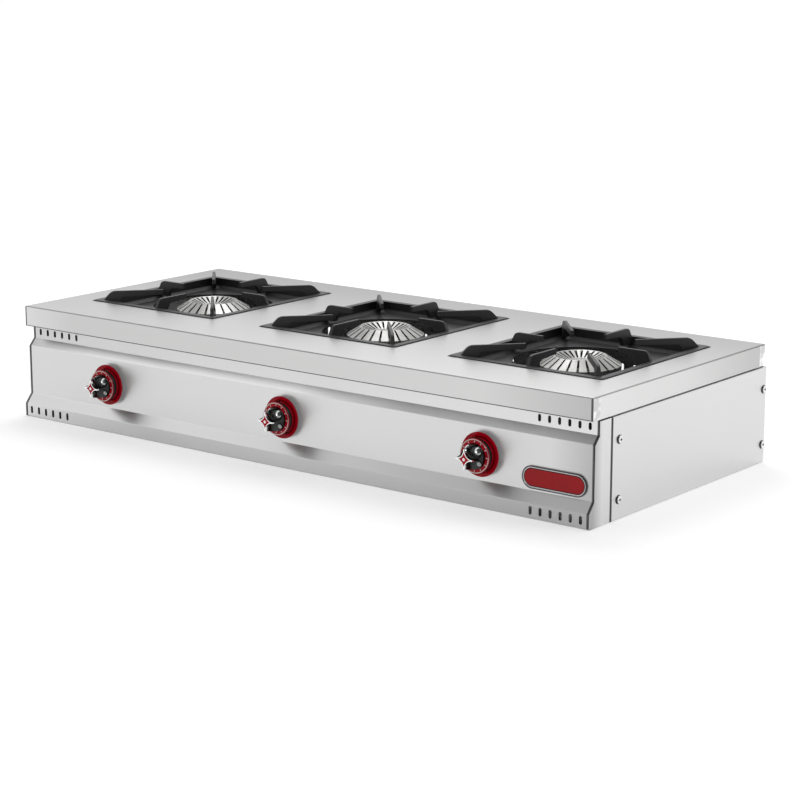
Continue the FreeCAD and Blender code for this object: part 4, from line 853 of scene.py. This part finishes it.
def head_centres(node, axis):
    """Crown centres of the screws in one node, found from its separate solids."""
    bm = bmesh.new()
    bm.from_mesh(NODES[node].data)
    bmesh.ops.remove_doubles(bm, verts=bm.verts, dist=1e-6)
    found = []
    left = set(bm.verts)
    while left:
        seed = left.pop()
        group = [seed]
        waiting = [seed]
        while waiting:
            for edge in waiting.pop().link_edges:
                for vert in edge.verts:
                    if vert in left:
                        left.discard(vert)
                        group.append(vert)
                        waiting.append(vert)
        low = Vector(min(v.co[i] for v in group) for i in range(3))
        high = Vector(max(v.co[i] for v in group) for i in range(3))
        place = (low + high) / 2
        place[axis] = high[axis] if place[axis] > 0 else low[axis]
        found.append(place)
    bm.free()
    return found


class RANGE_OT_bowls(bpy.types.Operator):
    """Satin black enamel on the drip bowls"""
    bl_idname = "wok_range.bowls"
    bl_label = "Finish the drip bowls"

    def execute(self, context):
        dress(for_each_burner("drip_bowl"), bowl_enamel())
        return {"FINISHED"}


class RANGE_OT_supports(bpy.types.Operator):
    """Cast iron on the pan supports"""
    bl_idname = "wok_range.supports"
    bl_label = "Finish the pan supports"

    def execute(self, context):
        dress(for_each_burner("pan_support"), support_iron())
        return {"FINISHED"}


class RANGE_OT_burners(bpy.types.Operator):
    """Bright caps on dark burner castings"""
    bl_idname = "wok_range.burners"
    bl_label = "Finish the burners"

    def execute(self, context):
        dress(for_each_burner("burner_cap"), cap_finish())
        dress(for_each_burner("burner_body"), burner_cast())
        return {"FINISHED"}


class RANGE_OT_gas_train(bpy.types.Operator):
    """Brass and plated steel on the gas train"""
    bl_idname = "wok_range.gas_train"
    bl_label = "Finish the gas train"

    def execute(self, context):
        for kind in ("gas_valve", "valve_plug", "injector"):
            dress(for_each_burner(kind), valve_brass())
        for kind in ("feed_pipe", "valve_spindle"):
            dress(for_each_burner(kind), zinc_plate())
        dress(["gas_manifold", "manifold_brackets"], zinc_plate())
        return {"FINISHED"}


class RANGE_OT_controls(bpy.types.Operator):
    """Gloss bezels, skirts and chrome grips, with rings, insets, small pale ticks and a painted
    highlight spot
    """
    bl_idname = "wok_range.controls"
    bl_label = "Finish the controls"

    def execute(self, context):
        dress(for_each_burner("knob_bezel"), bezel_finish())
        dress(for_each_burner("knob_skirt"), skirt_finish())
        dress(for_each_burner("knob_grip"), grip_chrome())
        for burner in BURNERS:
            self.trim(burner)
        return {"FINISHED"}

    def trim(self, burner):
        low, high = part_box("knob_skirt_" + burner)
        axis = Vector(((low.x + high.x) / 2, low.y, (low.z + high.z) / 2))
        rim = high.x - axis.x - RING_INSET
        bm = bmesh.new()
        ring(bm, rim - sizes().trim_ring_width, rim, 0.5 * MM, axis + Vector((0, 0.2 * MM, 0)))
        add_piece("skirt_ring_" + burner, bm, "knob_" + burner, ring_steel())
        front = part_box("knob_grip_" + burner)[0].y
        face = Vector((axis.x, front, axis.z))
        bm = bmesh.new()
        self.star(bm, face, sizes().inset_reach, sizes().inset_height, INSET_HOLLOW)
        add_piece("grip_inset_" + burner, bm, "knob_" + burner, gloss_red())
        # painted highlight: a white spot at the middle of the inset
        bm = bmesh.new()
        self.star(bm, face - Vector((0, sizes().inset_height, 0)),
                  sizes().inset_reach * SPOT_SHARE, sizes().inset_height / 3, SPOT_HOLLOW)
        add_piece("grip_spot_" + burner, bm, "knob_" + burner, mark_white())

    def star(self, bm, place, reach, height, hollow):
        """Four-pointed star that faces the front: 0 makes it round, 1 square, more hollow."""
        turn = Matrix.Translation(place) @ Matrix.Rotation(math.pi / 2, 4, "X")
        made = bmesh.ops.create_circle(bm, cap_ends=True, segments=48, radius=1.0)
        for vert in made["verts"]:
            angle = math.atan2(vert.co.y, vert.co.x)
            cosine, sine = math.cos(angle), math.sin(angle)
            pulled = (cosine * abs(cosine) ** hollow, sine * abs(sine) ** hollow, 0)
            vert.co = Vector(pulled) * reach
        grown = bmesh.ops.extrude_face_region(bm, geom=list(bm.faces))
        top = [v for v in grown["geom"] if isinstance(v, bmesh.types.BMVert)]
        bmesh.ops.translate(bm, verts=top, vec=(0, 0, height))
        bmesh.ops.transform(bm, matrix=turn, verts=bm.verts)


class RANGE_OT_badge(bpy.types.Operator):
    """Bare badge plate"""
    bl_idname = "wok_range.badge"
    bl_label = "Finish the badge plate"

    def execute(self, context):
        dress(["badge_plate"], badge_finish())
        return {"FINISHED"}


class RANGE_OT_stage(bpy.types.Operator):
    """Pale floor, soft light and the camera"""
    bl_idname = "wok_range.stage"
    bl_label = "Set the stage"

    def execute(self, context):
        self.floor()
        self.world(context.scene)
        self.lamps(context.scene)
        self.camera(context.scene)
        context.scene.view_settings.view_transform = "Standard"
        return {"FINISHED"}

    def floor(self):
        """Pale floor that glows a little where it is seen, but not under the range."""
        bm = bmesh.new()
        bmesh.ops.create_grid(bm, x_segments=1, y_segments=1, size=sizes().floor_size / 2)
        mesh = bpy.data.meshes.new("floor")
        bm.to_mesh(mesh)
        bm.free()
        obj = bpy.data.objects.new("floor", mesh)
        bpy.context.scene.collection.objects.link(obj)
        made = Finish("floor_white")
        grain = made.noise(3.0, 2.0)
        made.colour(made.blend(grain, (0.78, 0.78, 0.78), (0.80, 0.80, 0.80)))
        made.set(Roughness=1.0, Specular_IOR_Level=0.0, Emission_Color=(1, 1, 1, 1))
        away = made.node("ShaderNodeVectorMath", operation="LENGTH")
        made.feed(away.inputs[0], made.place)
        glow = made.spread(away.outputs["Value"], *FLOOR_GLOW, *FLOOR_FADE)
        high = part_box("floor_pan")[1]
        x, y, _ = made.axes()
        beyond = made.math("MAXIMUM", made.math("GREATER_THAN", made.math("ABSOLUTE", x), high.x),
                           made.math("GREATER_THAN", made.math("ABSOLUTE", y), high.y))
        glow = made.math("MULTIPLY", glow, beyond)
        path = made.node("ShaderNodeLightPath")
        made.feed(made.shader.inputs["Emission Strength"],
                  made.math("MULTIPLY", seen_rays(made.tree, path), glow))
        mesh.materials.append(made.material)

    def world(self, scene):
        """Even light all round; the rays that are seen, also in metal, get the white backdrop
        up to a dimmer ceiling."""
        world = bpy.data.worlds.new("studio")
        scene.world = world
        world.use_nodes = True
        tree = world.node_tree
        tree.nodes.clear()
        light = self.sky(tree, SKY_LIGHT)
        backdrop = self.sky(tree, SKY_SEEN)
        path = tree.nodes.new("ShaderNodeLightPath")
        mix = tree.nodes.new("ShaderNodeMixShader")
        out = tree.nodes.new("ShaderNodeOutputWorld")
        tree.links.new(seen_rays(tree, path), mix.inputs["Fac"])
        tree.links.new(light.outputs[0], mix.inputs[1])
        tree.links.new(backdrop.outputs[0], mix.inputs[2])
        tree.links.new(mix.outputs[0], out.inputs["Surface"])

    def sky(self, tree, levels):
        """Background whose brightness goes from the horizon's level to the zenith's."""
        coords = tree.nodes.new("ShaderNodeTexCoord")
        parts = tree.nodes.new("ShaderNodeSeparateXYZ")
        ramp = tree.nodes.new("ShaderNodeValToRGB")
        ramp.color_ramp.interpolation = "EASE"
        fill_ramp(ramp, levels)
        shown = tree.nodes.new("ShaderNodeBackground")
        tree.links.new(coords.outputs["Generated"], parts.inputs[0])
        tree.links.new(parts.outputs["Z"], ramp.inputs["Fac"])
        tree.links.new(ramp.outputs["Color"], shown.inputs["Color"])
        return shown

    def lamps(self, scene):
        for name, place, aim, size, power in LAMPS:
            data = bpy.data.lights.new(name, "AREA")
            data.shape = "SQUARE"
            data.size = size
            data.energy = power
            obj = bpy.data.objects.new(name, data)
            scene.collection.objects.link(obj)
            way = Vector(aim) - Vector(place)
            turn = way.to_track_quat("-Z", "Y").to_matrix().to_4x4()
            obj.matrix_world = Matrix.Translation(place) @ turn

    def camera(self, scene):
        azimuth = math.radians(CAMERA_AZIMUTH)
        elevation = math.radians(CAMERA_ELEVATION)
        back = Vector((math.sin(azimuth) * math.cos(elevation),
                       -math.cos(azimuth) * math.cos(elevation), math.sin(elevation)))
        right = Vector((0, 0, 1)).cross(back).normalized()
        up = back.cross(right)
        place = sum((way * far for way, far in zip((right, up, back), CAMERA_PLACE)), Vector())
        data = bpy.data.cameras.new("camera")
        data.sensor_width = 36.0
        data.lens = data.sensor_width * CAMERA_FOCUS / 800.0
        data.clip_end = 200.0
        obj = bpy.data.objects.new("camera", data)
        scene.collection.objects.link(obj)
        turn = Matrix((right, up, back)).transposed().to_4x4()
        obj.matrix_world = Matrix.Translation(place) @ turn
        scene.camera = obj


def seen_rays(tree, path):
    """1 for rays of the camera, and for those seen in metal or through glass."""
    value = path.outputs["Is Camera Ray"]
    for kind in ("Is Glossy Ray", "Is Transmission Ray"):
        larger = tree.nodes.new("ShaderNodeMath")
        larger.operation = "MAXIMUM"
        tree.links.new(value, larger.inputs[0])
        tree.links.new(path.outputs[kind], larger.inputs[1])
        value = larger.outputs[0]
    return value


OPERATORS = (RANGE_OT_body, RANGE_OT_screws, RANGE_OT_bowls, RANGE_OT_supports,
             RANGE_OT_burners, RANGE_OT_gas_train, RANGE_OT_controls, RANGE_OT_badge,
             RANGE_OT_stage)


class RANGE_PT_sidebar(bpy.types.Panel):
    """Steps that finish the range, and their settings"""
    bl_idname = "RANGE_PT_sidebar"
    bl_label = "Wok range"
    bl_space_type = "VIEW_3D"
    bl_region_type = "UI"
    bl_category = "Range"

    def draw(self, context):
        for operator in OPERATORS:
            self.layout.operator(operator.bl_idname)
        for settings in (sizes(), colours()):
            box = self.layout.box()
            for key in settings.__annotations__:
                box.prop(settings, key)


CLASSES = (RangeSizes, RangeColours) + OPERATORS + (RANGE_PT_sidebar,)


def register():
    for cls in CLASSES:
        bpy.utils.register_class(cls)
    bpy.types.Scene.range_sizes = PointerProperty(type=RangeSizes)
    bpy.types.Scene.range_colours = PointerProperty(type=RangeColours)


def unregister():
    del bpy.types.Scene.range_colours
    del bpy.types.Scene.range_sizes
    for cls in reversed(CLASSES):
        bpy.utils.unregister_class(cls)


def main():
    register()
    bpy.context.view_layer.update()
    for operator in OPERATORS:
        group, action = operator.bl_idname.split(".")
        getattr(getattr(bpy.ops, group), action)()


if __name__ == "__main__":
    main()
